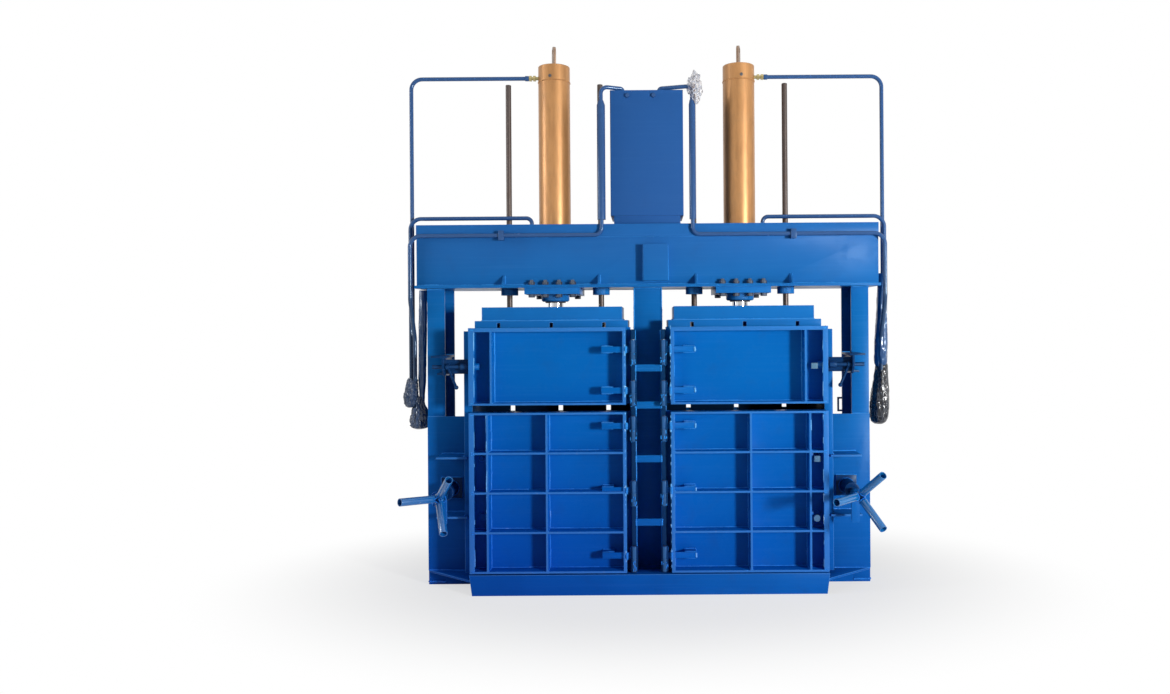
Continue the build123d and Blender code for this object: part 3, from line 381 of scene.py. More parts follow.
def enamel_skin():
    """Paint tone, edge wear and orange peel of brushed-on enamel, with painted shade towards the
    bottom and the left, near-black painted shade on marked faces and a painted highlight on plate
    edges.
    """
    sheet, start, end = new_group("Enamel skin", {
        "Colour": (0, 0.1, 0.4, 1), "Tone": 0.18, "Edge light": 0.5, "Chips": 0.35, "Gloss": 0.28,
    })
    place, edge = sheet.place(), sheet.attribute("edge")
    axes = sheet.node("SeparateXYZ", {0: place}).outputs
    clouds = sheet.ramp(sheet.noise(place, 2.3, 3), 0.30, 0.72)
    rolled = sheet.noise(sheet.stretched(place, (0.6, 2.0, 22.0)), 3.0, 3, 0.6)
    grime = sheet.ramp(sheet.noise(place, 9.0, 6, 0.65), 0.50, 0.78)
    colour, tone = start["Colour"], start["Tone"]
    darker = sheet.mix(1.0, colour, (0.62, 0.66, 0.74), "MULTIPLY")
    lighter = sheet.mix(0.16, colour, (0.10, 0.30, 0.62))
    base = sheet.mix(sheet.times(clouds, tone), colour, darker)
    base = sheet.mix(sheet.times(sheet.ramp(rolled, 0.45, 0.75), tone), base, lighter)
    base = sheet.mix(sheet.times(grime, 0.10), base, (0.03, 0.04, 0.06))
    # Painted shade: below 1.75 m the enamel darkens towards the bottom, and more so towards the
    # left
    painted_shade_leftwards = sheet.plus(sheet.times(sheet.ramp(axes["X"], 0.9, -0.9), 0.38), 0.62)
    low = sheet.times(sheet.ramp(axes["Z"], 1.75, -0.35), painted_shade_leftwards)
    base = sheet.mix(low, base, sheet.mix(1.0, base, (0.36, 0.40, 0.80), "MULTIPLY"))
    high = sheet.times(sheet.ramp(axes["Z"], 1.70, 2.20), 0.45)
    base = sheet.mix(high, base, (0.034, 0.122, 0.375))
    # Painted shade: marked faces inside the chambers and on the hinge posts turn near black
    base = sheet.mix(sheet.attribute("rubbed"), base, (0.004, 0.008, 0.020))
    # Painted highlight: plate edges and plate ends turn a lighter blue
    base = sheet.mix(sheet.times(edge, start["Edge light"]), base, (0.085, 0.270, 0.640))
    flakes = sheet.ramp(sheet.noise(place, 46.0, 5, 0.7), 0.60, 0.66)
    chips = sheet.times(sheet.times(flakes, edge), start["Chips"])
    rough = sheet.plus(start["Gloss"], sheet.times(grime, 0.18))
    lap = sheet.noise(sheet.stretched(place, (1.0, 1.0, 9.0)), 26.0, 3)
    height = sheet.times(sheet.noise(place, 210.0, 2), 0.10)
    height = sheet.plus(height, sheet.times(sheet.noise(place, 14.0, 2), 0.9))
    sheet.fill(end, {
        "Colour": sheet.mix(chips, base, (0.20, 0.21, 0.23)),
        "Roughness": sheet.plus(rough, sheet.times(chips, 0.25)),
        "Height": sheet.plus(height, sheet.times(lap, 0.16)),
    })
    return sheet.tree


def metal_grain():
    """Colour drift and drawn lines of bare or lacquered metal."""
    sheet, start, end = new_group("Metal grain", {
        "Colour": (0.4, 0.4, 0.4, 1), "Stain": (0.1, 0.08, 0.07, 1), "Stain amount": 0.3,
        "Grain": PLAIN, "Gloss": 0.3,
    })
    place, amount = sheet.place(), start["Stain amount"]
    drawn = sheet.node("VectorMath", {0: place, 1: start["Grain"]}, operation="MULTIPLY")
    lines = sheet.noise(drawn.outputs[0], 60.0, 4, 0.6)
    spots = sheet.ramp(sheet.noise(place, 11.0, 6, 0.7), 0.46, 0.74)
    specks = sheet.ramp(sheet.noise(place, 120.0, 3, 0.6), 0.66, 0.72)
    stain = sheet.times(spots, amount)
    colour = sheet.mix(stain, start["Colour"], start["Stain"])
    darker = sheet.mix(1.0, colour, (0.80, 0.78, 0.76), "MULTIPLY")
    colour = sheet.mix(sheet.ramp(lines, 0.35, 0.75), colour, darker)
    rough = sheet.plus(start["Gloss"], sheet.times(stain, 0.35))
    sheet.fill(end, {
        "Colour": sheet.mix(sheet.times(specks, amount), colour, (0.05, 0.035, 0.03)),
        "Roughness": sheet.plus(rough, sheet.times(lines, 0.10)),
        "Height": sheet.plus(sheet.times(lines, 0.5), spots),
    })
    return sheet.tree


def film_crinkle():
    """Creases of crumpled stretch film, with a painted glint along them."""
    sheet, start, end = new_group(
        "Film crinkle", {"Colour": (0.05, 0.05, 0.05, 1), "Shine": 0.5},
        ("Colour", "Roughness", "Height", "Crease"),
    )
    place = sheet.place()
    pleats = sheet.node(
        "TexVoronoi", {"Vector": sheet.stretched(place, (1.0, 1.0, 0.55)), "Scale": 42.0},
        feature="DISTANCE_TO_EDGE",
    )
    crease = sheet.ramp(pleats.outputs["Distance"], 0.16, 0.0)
    rumple = sheet.noise(place, 34.0, 5, 0.6)
    # Painted glint: the creases turn a light grey-blue
    painted_crease_glint = sheet.times(crease, start["Shine"])
    sheet.fill(end, {
        "Colour": sheet.mix(painted_crease_glint, start["Colour"], (0.42, 0.48, 0.58)),
        "Roughness": sheet.plus(sheet.times(rumple, 0.16), 0.06),
        "Height": sheet.plus(rumple, sheet.times(crease, 0.45)),
        "Crease": crease,
    })
    return sheet.tree


GROUPS = {}
MATERIALS = {}


def material(name, maker, values, shader, bump, distance):
    """A finish: one shared group feeding a Principled shader's colour, roughness and bump."""
    if name in MATERIALS:
        return MATERIALS[name]
    if maker not in GROUPS:
        GROUPS[maker] = maker()
    made = bpy.data.materials.new(name)
    made.use_nodes = True
    sheet = Sheet(made.node_tree)
    group = sheet.node("Group", values, node_tree=GROUPS[maker]).outputs
    relief = sheet.node(
        "Bump", {"Strength": bump, "Distance": distance, "Height": group["Height"]}
    )
    sheet.fill(made.node_tree.nodes["Principled BSDF"], {
        "Base Color": group["Colour"], "Roughness": group["Roughness"],
        "Normal": relief.outputs["Normal"], **shader,
    })
    if "Alpha" in shader:
        dense = sheet.plus(sheet.times(group["Crease"], 0.75), shader["Alpha"])
        sheet.fill(made.node_tree.nodes["Principled BSDF"], {"Alpha": dense})
    MATERIALS[name] = made
    return made


def enamel(name, colour, tone, edge, chips, gloss, bump=0.22, specular=0.05, coat=0.0):
    """Blue brushed enamel, whose shine is tinted by its paint."""
    return material(
        name, enamel_skin,
        {"Colour": rgba(colour), "Tone": tone, "Edge light": edge, "Chips": chips, "Gloss": gloss},
        {
            "Specular IOR Level": specular, "Specular Tint": (0.62, 0.82, 1.0, 1),
            "Coat Weight": coat, "Coat Roughness": 0.12,
        },
        bump, 0.0011,
    )


def metal(
    name, colour, stain, amount, grain, gloss, metallic=1.0, bump=0.1, coat=0.0, distance=0.0004
):
    """Bare or lacquered metal."""
    return material(
        name, metal_grain,
        {
            "Colour": rgba(colour), "Stain": rgba(stain), "Stain amount": amount, "Grain": grain,
            "Gloss": gloss,
        },
        {"Metallic": metallic, "Coat Weight": coat, "Coat Roughness": 0.08},
        bump, distance,
    )


def film(name, colour, shine, alpha, bump, coat=0.55):
    """Stretch film; the clear kind shows what is behind it between its creases."""
    shader = {"Coat Weight": coat, "Coat Roughness": 0.05, "Specular IOR Level": coat}
    if alpha < 1:
        shader["Alpha"] = alpha
    values = {"Colour": rgba(colour), "Shine": shine}
    return material(name, film_crinkle, values, shader, bump, 0.006)


def finish(name):
    """One of the baler's finishes, by its record slot or its own name."""
    makers = ((enamel, ENAMELS), (metal, METALS), (film, FILMS))
    maker, rows = next(pair for pair in makers if name in pair[1])
    label, colour, *numbers = rows[name]
    if isinstance(colour, str):
        colour = getattr(bpy.context.scene.baler_paint, colour)
    return maker(label, colour, *numbers)


# Mesh helpers


def placed(name, data):
    """A new object in the scene."""
    made = bpy.data.objects.new(name, data)
    bpy.context.scene.collection.objects.link(made)
    return made


def piece(name, bm, body, slot, look=None, smooth=True):
    """Turns a bmesh into a piece that rides on a body; its look is its slot's, if not named."""
    bm.normal_update()
    mesh = bpy.data.meshes.new(name)
    bm.to_mesh(mesh)
    bm.free()
    mesh.polygons.foreach_set("use_smooth", [smooth] * len(mesh.polygons))
    if smooth:
        mesh.set_sharp_from_angle(angle=math.radians(KEPT_ANGLE))
    mesh.materials.append(finish(look or slot))
    made = placed(name, mesh)
    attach(made, body)
    return made


def plate_end(face):
    """How far a face is the narrow front edge of a plate, which gets a painted highlight, lighter
    than its sides.
    """
    if face.normal.y > -0.9:
        return 0.0
    xs = [vert.co.x for vert in face.verts]
    zs = [vert.co.z for vert in face.verts]
    narrow = min(max(xs) - min(xs), max(zs) - min(zs)) < RIB + 0.0015
    on_ribs = abs(face.verts[0].co.y - RIB_FRONT) < 0.001 and min(zs) > LOWER_RIBS[0] - 0.004
    return PLATE_END if narrow or on_ribs else 0.0


def within(point, zone):
    """Whether a point lies within limits on x, either way from the middle, and on y and z."""
    place = (abs(point.x), point.y, point.z)
    return all(low < value < high for value, (low, high) in zip(place, zone))


def painted_shade_share(face):
    """How much painted shade a face gets: nearly full inside the chambers and on the hinge posts'
    faces that don't face up.
    """
    middle = face.calc_center_median()
    if within(middle, CHAMBER_ZONE):
        return 0.85
    if within(middle, POST_ZONE) and face.normal.z < 0.9:
        return 0.78
    return 0.0


def bevelled(bm, edges, width, segments=2, **choices):
    """Rounds some edges; returns the new faces."""
    return bmesh.ops.bevel(
        bm, geom=edges, offset=width, segments=segments, profile=0.5, affect="EDGES",
        material=-1, **choices,
    )["faces"]


def softened(node, slot, width=None, look=None):
    """A CAD node's own shape with its plate edges rounded, in the node's place."""
    bm = bmesh.new()
    bm.from_mesh(frame["nodes"][node].data)
    bmesh.ops.remove_doubles(bm, verts=bm.verts, dist=0.00001)
    bmesh.ops.dissolve_limit(
        bm, angle_limit=math.radians(0.5), verts=bm.verts, edges=bm.edges,
        use_dissolve_boundaries=False,
    )
    edge_mark = bm.faces.layers.float.new("edge")
    painted_shade_mark = bm.faces.layers.float.new("rubbed")
    for face in bm.faces:
        face[edge_mark] = plate_end(face)
        face[painted_shade_mark] = painted_shade_share(face)
    sharp = [
        edge for edge in bm.edges
        if len(edge.link_faces) == 2 and edge.calc_face_angle(0) > math.radians(ROUNDED_ANGLE)
    ]
    width = width or details().plate_edge
    # The rounded edges get the full painted highlight, and the chips that follow it
    for face in bevelled(bm, sharp, width, offset_type="OFFSET", clamp_overlap=True):
        face[edge_mark] = 1.0
    bmesh.ops.triangulate(bm, faces=[face for face in bm.faces if len(face.verts) > 4])
    made = piece(node + "_soft_edges", bm, frame["nodes"][node]["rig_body"], slot, look)
    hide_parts(node)


def dress_node(node, finish_material):
    """Gives a CAD node that stays its finish."""
    held = frame["nodes"][node]
    if not held.material_slots:
        held.data.materials.append(finish_material)
    for place in held.material_slots:
        place.material = finish_material


def add_copies(bm, stock, *places):
    """Puts a stock shape into bm at each matrix, and frees the stock."""
    for place in places:
        mesh = bpy.data.meshes.new("stock")
        stock.to_mesh(mesh)
        mesh.transform(place)
        bm.from_mesh(mesh)
        bpy.data.meshes.remove(mesh)
    stock.free()


def add_block(bm, centre, size):
    """Adds a box."""
    place = Matrix.Translation(centre) @ Matrix.Diagonal((*size, 1))
    bmesh.ops.create_cube(bm, size=1.0, matrix=place)


def turn_to(run):
    """A matrix that turns the +Z axis to a direction."""
    return run.to_track_quat("Z", "Y").to_matrix().to_4x4()


def along(start, end):
    """A matrix that lays the +Z axis from start towards end."""
    start = Vector(start)
    return Matrix.Translation(start) @ turn_to(Vector(end) - start)


def turned_part(profile, segments=32):
    """A bmesh spun about +Z from (radius, z) points."""
    bm = bmesh.new()
    verts = [bm.verts.new((radius, 0, height)) for radius, height in profile]
    edges = [bm.edges.new(ends) for ends in zip(verts, verts[1:])]
    bmesh.ops.spin(
        bm, geom=verts + edges, cent=(0, 0, 0), axis=(0, 0, 1), angle=2 * math.pi,
        steps=segments, use_merge=True,
    )
    bmesh.ops.remove_doubles(bm, verts=bm.verts, dist=0.000005)
    bmesh.ops.recalc_face_normals(bm, faces=bm.faces)
    return bm


def hexagon_nut(half_width, height):
    """A hexagon with its corners turned off, from z 0 up."""
    bm = bmesh.new()
    radius = half_width / math.cos(math.pi / 6)
    bmesh.ops.create_circle(bm, cap_ends=True, radius=radius, segments=6)
    lifted = bmesh.ops.extrude_face_region(bm, geom=bm.faces[:], use_keep_orig=True)
    top = [item for item in lifted["geom"] if isinstance(item, bmesh.types.BMVert)]
    bmesh.ops.translate(bm, verts=top, vec=(0, 0, height))
    corners = [
        edge for edge in bm.edges
        if all(abs(vert.co.z - height) < 1e-7 for vert in edge.verts)
    ]
    bevelled(bm, corners, half_width * 0.10)
    bmesh.ops.recalc_face_normals(bm, faces=bm.faces)
    return bm


def drawn_tube(bm, steps):
    """Draws the open ring in bm out, a ring of points at a time, and closes both ends."""
    edges = first = bm.edges[:]
    for _ in range(steps):
        grown = bmesh.ops.extrude_edge_only(bm, edges=edges)["geom"]
        edges = [item for item in grown if isinstance(item, bmesh.types.BMEdge)]
        yield [item for item in grown if isinstance(item, bmesh.types.BMVert)]
    bmesh.ops.edgeloop_fill(bm, edges=first)
    bmesh.ops.edgeloop_fill(bm, edges=edges)


class WeldShop:
    """Lays rippled weld beads into one mesh, mirrored where the sign is -1"""

    KINDS = 5
    NECK = 0.55
    SHORT = 0.055

    def __init__(self, seed, sign=1):
        self.sign = sign
        self.dice = random.Random(seed)
        self.radius = details().weld_radius
        self.ripple = details().weld_ripple
        self.bm = bmesh.new()
        self.stock = [self.bead(number, 32) for number in range(self.KINDS)]
        self.short = [self.bead(number, 8) for number in range(self.KINDS)]

    def bead(self, number, steps):
        """A unit bead along +Z with a ripple every two steps, closed at both ends."""
        dice = random.Random(number)
        bm = bmesh.new()
        bmesh.ops.create_circle(bm, cap_ends=False, radius=self.NECK, segments=6)
        size = self.NECK
        for step, ring in enumerate(drawn_tube(bm, steps), 1):
            wanted = (1.0 if step % 2 else 0.80) * dice.uniform(0.86, 1.14)
            if step == steps:
                wanted = self.NECK
            bmesh.ops.scale(bm, verts=ring, vec=(wanted / size, wanted / size, 1))
            size = wanted
            shift = (dice.uniform(-0.07, 0.07), dice.uniform(-0.07, 0.07), 1 / steps)
            bmesh.ops.translate(bm, verts=ring, vec=shift)
        bmesh.ops.recalc_face_normals(bm, faces=bm.faces)
        mesh = bpy.data.meshes.new("bead stock")
        bm.to_mesh(mesh)
        bm.free()
        return mesh

    def lay(self, start, end, size=1.0):
        """A bead from start to end."""
        start, end = Vector(start), Vector(end)
        length = (end - start).length
        count = max(1, round(length / (16 * self.ripple)))
        run = (end - start) / count
        turn = turn_to(run)
        stock = self.stock if length > self.SHORT else self.short
        for step in range(count):
            radius = self.radius * size * self.dice.uniform(0.92, 1.10)
            spin = Matrix.Rotation(self.dice.uniform(0, 2 * math.pi), 4, "Z")
            shape = Matrix.Diagonal((radius, radius, run.length * 1.01, 1))
            place = Matrix.Translation(start + run * step) @ turn @ spin @ shape
            self.add(self.dice.choice(stock), place)

    def across(self, start, end, y, z, size=1.0):
        """A bead along X."""
        self.lay((self.sign * start, y, z), (self.sign * end, y, z), size)

    def back(self, x, start, end, z, size=1.0):
        """A bead along Y."""
        self.lay((self.sign * x, start, z), (self.sign * x, end, z), size)

    def up(self, x, y, start, end, size=1.0):
        """A bead along Z."""
        self.lay((self.sign * x, y, start), (self.sign * x, y, end), size)

    def ring(self, x, y, z, radius, axis="Z", size=1.0, count=24):
        """A bead round a circle."""
        centre = Vector((self.sign * x, y, z))
        turn, name = {"X": (1, "Y"), "Y": (-1, "X"), "Z": (0, "Z")}[axis]
        spin = Matrix.Rotation(turn * math.pi / 2, 3, name)
        points = []
        for step in range(count + 1):
            angle = 2 * math.pi * step / count
            reach = Vector((radius * math.cos(angle), radius * math.sin(angle), 0))
            points.append(centre + spin @ reach)
        thick = self.radius * size
        for first, second in zip(points, points[1:]):
            stock = self.dice.choice(self.short)
            shape = Matrix.Diagonal((thick, thick, (second - first).length, 1))
            self.add(stock, along(first, second) @ shape)

    def add(self, stock, place):
        """One copy of a stock bead."""
        known = len(self.bm.verts)
        self.bm.from_mesh(stock)
        self.bm.verts.ensure_lookup_table()
        for vert in self.bm.verts[known:]:
            vert.co = place @ vert.co

    def piece(self, name, body, slot, look="weld"):
        """The beads as one piece."""
        for stock in self.stock + self.short:
            bpy.data.meshes.remove(stock)
        piece(name, self.bm, body, slot, look)


# Operators


class BALER_OT_paint(bpy.types.Operator):
    """Gives every CAD node but the stretch film its finish and rounds the edges of the welded
    plates
    """

    bl_idname = "baler.paint"
    bl_label = "Paint the Structure"

    SOFT = (
        "base_front_beam", "base_rear_beam", "centre_column", "crosshead", "hinge_post_ladder",
        "inner_walls", "outer_walls", "gland_flanges", "lock_blocks", "latch_brackets",
        "rear_ribs", "lifting_eyes", "pipe_clamps", "oil_tank", "flange_bolts", "guide_bushes",
    )
    SOFT_EACH = (
        "outer_column", "skirt", "rear_wall", "platen", "lower_door", "upper_door", "lock_dog",
        "star_handle", "upper_latch",
    )
    FINE = {
        "lifting_eyes": 0.0012, "pipe_clamps": 0.001, "flange_bolts": 0.0012,
        "guide_bushes": 0.0012, "oil_tank": 0.0016, "upper_latch": 0.0012,
        "star_handle": 0.0012,
    }
    # The shaded finish is painted shade on the latches and the lock parts
    OWN = {
        "hinge_pins": "pipe_paint", "lifting_eyes": "eye_steel", "latch_brackets": "shaded",
        "star_handle": "handle", "upper_latch": "shaded", "lock_blocks": "shaded",
        "left_lock_washer": "shaded", "right_lock_washer": "shaded",
    }

    def execute(self, context):
        slots = {part["node"]: part["material_slot"] for part in frame["record"]["subparts"]}
        for node in frame["nodes"]:
            if slots[node] != "stretch_film":
                dress_node(node, finish(self.OWN.get(node, slots[node])))
        pairs = [(node, node) for node in self.SOFT]
        pairs += [(f"{side}_{kind}", kind) for side, _ in SIDES for kind in self.SOFT_EACH]
        for node, kind in pairs:
            softened(node, slots[node], self.FINE.get(kind), self.OWN.get(kind))
        return {"FINISHED"}


SEAM = 0.985
GLINT_FRONT = RIB_FRONT + 0.002
BOLT_FRONT = -0.386
NO_SEAM = 9


def door_leaf(shop, ribs, uprights, straps, rough):
    """The beads of one door."""
    bottom, top = ribs[0], ribs[-1] + RIB
    half = RIB / 2
    across = [INNER_STILE[1], *uprights, OUTER_WEB[0]]
    for left, right in zip(across, across[1:]):
        left += half if left in uprights else 0
        right -= half if right in uprights else 0
        for level in ribs:
            if level > bottom:
                shop.across(left, right, PANEL_FRONT, level, 0.9)
            if level < ribs[-1]:
                shop.across(left, right, PANEL_FRONT, level + RIB, 0.9)
    lines = [(INNER_STILE[1], 0.9), (INNER_STILE[0], 1.0), (OUTER_WEB[0], 1.1)]
    for middle in uprights:
        lines += [(x, rough) for x in both(middle, half)]
    for x, size in lines:
        for low, high in zip(ribs, ribs[1:]):
            shop.up(x, PANEL_FRONT, low + RIB, high, size)
    shop.up(OUTER_WEB[0], RIB_FRONT + 0.010, bottom, top, 0.8)
    for level in ribs:
        for z in (level, level + RIB):
            if bottom < z < top:
                shop.across(LIP_EDGE, OUTER_WEB[0], RIB_FRONT + 0.001, z, 0.75)
                shop.back(INNER_STILE[1], PANEL_FRONT, RIB_FRONT + 0.004, z, 0.75)
        for middle in uprights:
            for x in both(middle, half):
                z = level + RIB if level < ribs[-1] else level
                shop.back(x, PANEL_FRONT, RIB_FRONT + 0.004, z, 0.7)
    door_hinges(shop, straps)


def door_hinges(shop, straps):
    """The beads round a door's straps and knuckles."""
    behind = HINGE_Y + 0.022
    first, last = STRAP_PACKING
    for middle in straps:
        low, high = both(middle, 0.018)
        for z in (low, high):
            shop.across(first, last, PANEL_FRONT, z)
            shop.across(*INNER_STILE, behind - 0.002, z, 1.15)
            shop.across(first, last, behind - 0.001, z, 0.8)
        shop.up(last, PANEL_FRONT, low, high)
        shop.up(INNER_STILE[0], RIB_FRONT, low - 0.004, high + 0.004, 1.5)
        shop.up(0.111, HINGE_Y + 0.010, low + 0.004, high + 0.03, 1.2)


def painted_door_glints(shop, ribs, straps, low_end):
    """Lumpy beads in a lighter blue: painted glints where the light would catch the welds."""
    roll = shop.dice.uniform
    stile = 0.1345 if shop.sign > 0 else 0.1425
    for middle in straps:
        if shop.sign > 0:
            shop.up(STRAP_PACKING[1], STRAP_FRONT, *both(middle, 0.014))
        for z in (middle - 0.024, middle + 0.022):
            reach = roll(0.008, 0.018)
            shop.up(stile, GLINT_FRONT, *both(z, reach), 1.1)
    place = ribs[0] + 0.03
    while place < ribs[-1]:
        size = roll(0.30, 0.65)
        end = place + roll(0.008, 0.022)
        shop.up(stile, GLINT_FRONT, place, end, size)
        place = end + roll(0.012, 0.05)
    for low, high in zip(ribs, ribs[1:]):
        place = low + RIB + roll(0.01, 0.05)
        while place < high - 0.03:
            end = min(high - 0.01, place + roll(0.02, 0.11))
            shop.up(LIP_EDGE - 0.0005, RIB_FRONT + 0.004, place, end, 0.55)
            place = end + roll(0.04, 0.16)
        if low < low_end:
            continue
        place = low + RIB + 0.004
        while place < high - 0.012:
            end = min(high - 0.004, place + roll(0.03, 0.14))
            shop.up(SEAM, RIB_FRONT + 0.003, place, end, roll(0.40, 0.80))
            place = end + roll(0.004, 0.05)


def stop_bolt(name, body, x, z, is_round=False):
    """A stop bolt: a stem from the panel and its pale head."""
    bm = bmesh.new()
    tip = Vector((x, BOLT_FRONT, z))
    x, z = tip.x, tip.z
    stem = turned_part(((0.0, 0.0), (0.009, 0.0), (0.009, 0.052), (0.0, 0.052)), 20)
    add_copies(bm, stem, along((x, PANEL_FRONT - 0.0175, z), (x, PANEL_FRONT - 1, z)))
    if is_round:
        head = turned_part((
            (0.0, 0.0), (0.021, 0.0), (0.021, 0.011), (0.019, 0.013), (0.0, 0.013),
        ))
        place = along(tip + Vector((0, 0.013, 0)), tip)
    else:
        head = bmesh.new()
        add_block(head, (0, 0, 0), (0.040, 0.014, 0.036))
        bevelled(head, head.edges[:], 0.0015)
        place = Matrix.Translation(tip + Vector((0, 0.007, 0)))
    add_copies(bm, head, place)
    piece(name, bm, body, "zinc_bolt", "bolt_face")


class BALER_OT_door_welds(bpy.types.Operator):
    """Welds each door's ribs, stiles, straps and knuckles"""

    bl_idname = "baler.door_welds"
    bl_label = "Weld the Doors"

    def execute(self, context):
        stop_bolt("square_stop_bolt", "right_lower_leaf", 1.027, 0.814)
        stop_bolt("round_stop_bolt", "right_lower_leaf", 1.022, 0.452, True)
        stop_bolt("upper_stop_bolt", "right_upper_leaf", 1.012, 1.381)
        for seed, (side, sign) in enumerate(SIDES, 1):
            lower, upper = f"{side}_lower_leaf", f"{side}_upper_leaf"
            shop = WeldShop(seed + 12, sign)
            # Lumpy beads in a lighter blue, painted glints along the doors
            painted_door_glints(shop, LOWER_RIBS, LOWER_STRAPS, 0.3 if sign < 0 else 0.8)
            shop.piece(f"{side}_lower_bright_beads", lower, "door_paint", "bright_weld")
            shop = WeldShop(seed + 22, sign)
            painted_door_glints(shop, UPPER_RIBS, UPPER_STRAPS, NO_SEAM)
            shop.piece(f"{side}_upper_bright_beads", upper, "door_paint", "bright_weld")
            shop = WeldShop(seed + 10, sign)
            door_leaf(shop, LOWER_RIBS, LOWER_UPRIGHTS, LOWER_STRAPS, 1.15)
            for z in (0.824, 0.463):
                shop.ring(1.028, PANEL_FRONT, z, 0.0235, "Y", 0.55, 18)
            shop.piece(f"{side}_lower_door_welds", lower, "door_paint")
            shop = WeldShop(seed + 20, sign)
            door_leaf(shop, UPPER_RIBS, UPPER_UPRIGHTS, UPPER_STRAPS, 1.0)
            shop.ring(1.0785, LATCH_Y, LATCH_Z, 0.0215, "X", 0.7, 18)
            shop.piece(f"{side}_upper_door_welds", upper, "door_paint")
        return {"FINISHED"}


def hinge_posts(shop):
    """Beads of the hinge posts, their knuckles and rungs."""
    roll = shop.dice.uniform
    for middle in (*UPPER_STRAPS, *LOWER_STRAPS):
        top = middle - 0.0185
        bottom = top - 0.074
        for x in both(HINGE_X, 0.0105):
            shop.up(x, POST_FRONT - 0.001, bottom, top, 1.2)
        for x in both(HINGE_X, 0.013):
            shop.up(x, POST_FRONT + 0.002, bottom - 0.01, top + 0.01, 0.8)
        for _ in range(7):
            around = math.radians(roll(-150, -30))
            x = HINGE_X + KNUCKLE_RADIUS * math.cos(around)
            y = HINGE_Y + KNUCKLE_RADIUS * math.sin(around)
            start = roll(bottom, top - 0.012)
            end = min(top - 0.004, start + roll(0.006, 0.022))
            shop.up(x, y, start, end, roll(0.4, 0.75))
    shop.up(HINGE_X - 0.013, -0.300, 0.127, 1.604, 0.9)
    for middle in RUNGS:
        for z in both(middle, 0.021):
            shop.back(HINGE_X - 0.012, -0.372, -0.360, z, 0.9)
        shop.up(HINGE_X - 0.0135, -0.3725, *both(middle, 0.021))


def side_frame(shop):
    """Beads of one column, its skirt, shelves and chamber walls."""
    shop.up(1.292, -0.151, 0.095, 1.064, 0.6)
    shop.across(1.290, 1.398, COLUMN_FRONT, 1.0655, 0.9)
    shop.up(1.101, -0.298, 0.127, 0.455, 0.5)
    for top in SHELVES:
        for z in (top, top - RIB):
            shop.across(1.142, 1.308, -0.1625, z)
            shop.back(1.141, -0.297, -0.2865, z, 0.9)
    shop.across(1.102, 1.396, -0.1625, 0.0925)
    for y in both(0, 0.150):
        shop.across(1.290, 1.400, y, COLUMN_TOP, 1.1)
        shop.across(1.292, 1.398, y, COLUMN_FOOT, 1.1)
    for z in (COLUMN_TOP, COLUMN_FOOT):
        shop.back(1.4005, -0.148, 0.148, z, 1.1)
    shop.up(WALL_FACE, 0.2955, 0.127, 1.60, 0.9)
    for level in REAR_RIBS:
        for z in (level, level + RIB):
            shop.across(0.13, 1.07, REAR_FACE, z, 0.85)
    shop.across(0.102, 1.098, REAR_FACE, 0.1255)
    x, z, pad = LOCK.x, LOCK.z, 0.065
    for reach in (-pad, pad):
        shop.up(x + reach, SKIRT_FRONT, *both(z, pad))
        shop.across(*both(x, pad), SKIRT_FRONT, z + reach)
    shop.ring(x, SKIRT_FRONT - 0.0165, z, 0.046, "Y", 0.9, 28)
    high, low = LATCH_Z + 0.068, LATCH_Z - 0.056
    shop.up(1.242, COLUMN_FRONT, low + 0.01, high - 0.012, 0.9)
    shop.up(1.254, COLUMN_FRONT, low + 0.012, high - 0.012, 0.9)
    shop.across(1.228, 1.280, COLUMN_FRONT, high, 0.9)


def crosshead_beads(shop):
    """Beads of the crosshead's strip, lips and cover box."""
    lip_z, face = 1.8925, -0.1805
    stops = (-1.458, -0.906, -0.306, 0.306, 0.906, 1.458)
    for left, right in zip(stops, stops[1:]):
        for y in (face, -face):
            shop.across(left + 0.008, right - 0.008, y, lip_z, 1.1)
    for side in (-1, 1):
        for place in (-0.294, 0.306):
            middle = side * (CHAMBER_X + place)
            for x in both(middle, 0.006):
                shop.back(x, face - 0.057, face - 0.004, lip_z + 0.002, 0.85)
                shop.up(x, face, lip_z + 0.006, lip_z + 0.062, 0.85)
    shop.across(-1.456, 1.456, face, 2.196, 0.55)
    for x in (-0.029, 0.129):
        shop.up(x, face, 1.916, 2.140, 0.8)
    for z in (1.914, 2.144):
        shop.across(-0.027, 0.127, face, z, 0.8)


def base_beads(shop):
    """Beads along the base beams and the centre column."""
    for sign in (-1, 1):
        shop.sign = sign
        shop.across(0.100, 1.094, -0.2985, 0.1262, 0.7)
        for y in both(0, 0.150):
            shop.up(0.088, y, 0.114, 1.872, 0.7)
        for y in both(0, 0.150):
            shop.lay((-0.088, y, COLUMN_TOP), (0.088, y, COLUMN_TOP))


def column_staple():
    """The small staple on the right column's rear flange."""
    bm = bmesh.new()
    for x, z, wide, high in (
        (1.2755, 1.142, 0.034, 0.012), (1.2755, 1.058, 0.034, 0.012),
        (1.2645, 1.100, 0.012, 0.096),
    ):
        add_block(bm, (x, 0.142, z), (wide, 0.012, high))
    bevelled(bm, bm.edges[:], 0.003, 3)
    piece("column_staple", bm, "frame", "frame_paint")


def rear_strips():
    """A flat strip across each rear wall, behind the gap between the doors."""
    for side, sign in SIDES:
        high = 0.030 if sign > 0 else 0.016
        bm = bmesh.new()
        add_block(bm, (sign * CHAMBER_X, 0.3098, 1.040 + high / 2), (0.960, 0.006, high))
        piece(f"{side}_rear_strip", bm, "frame", "frame_paint", smooth=False)


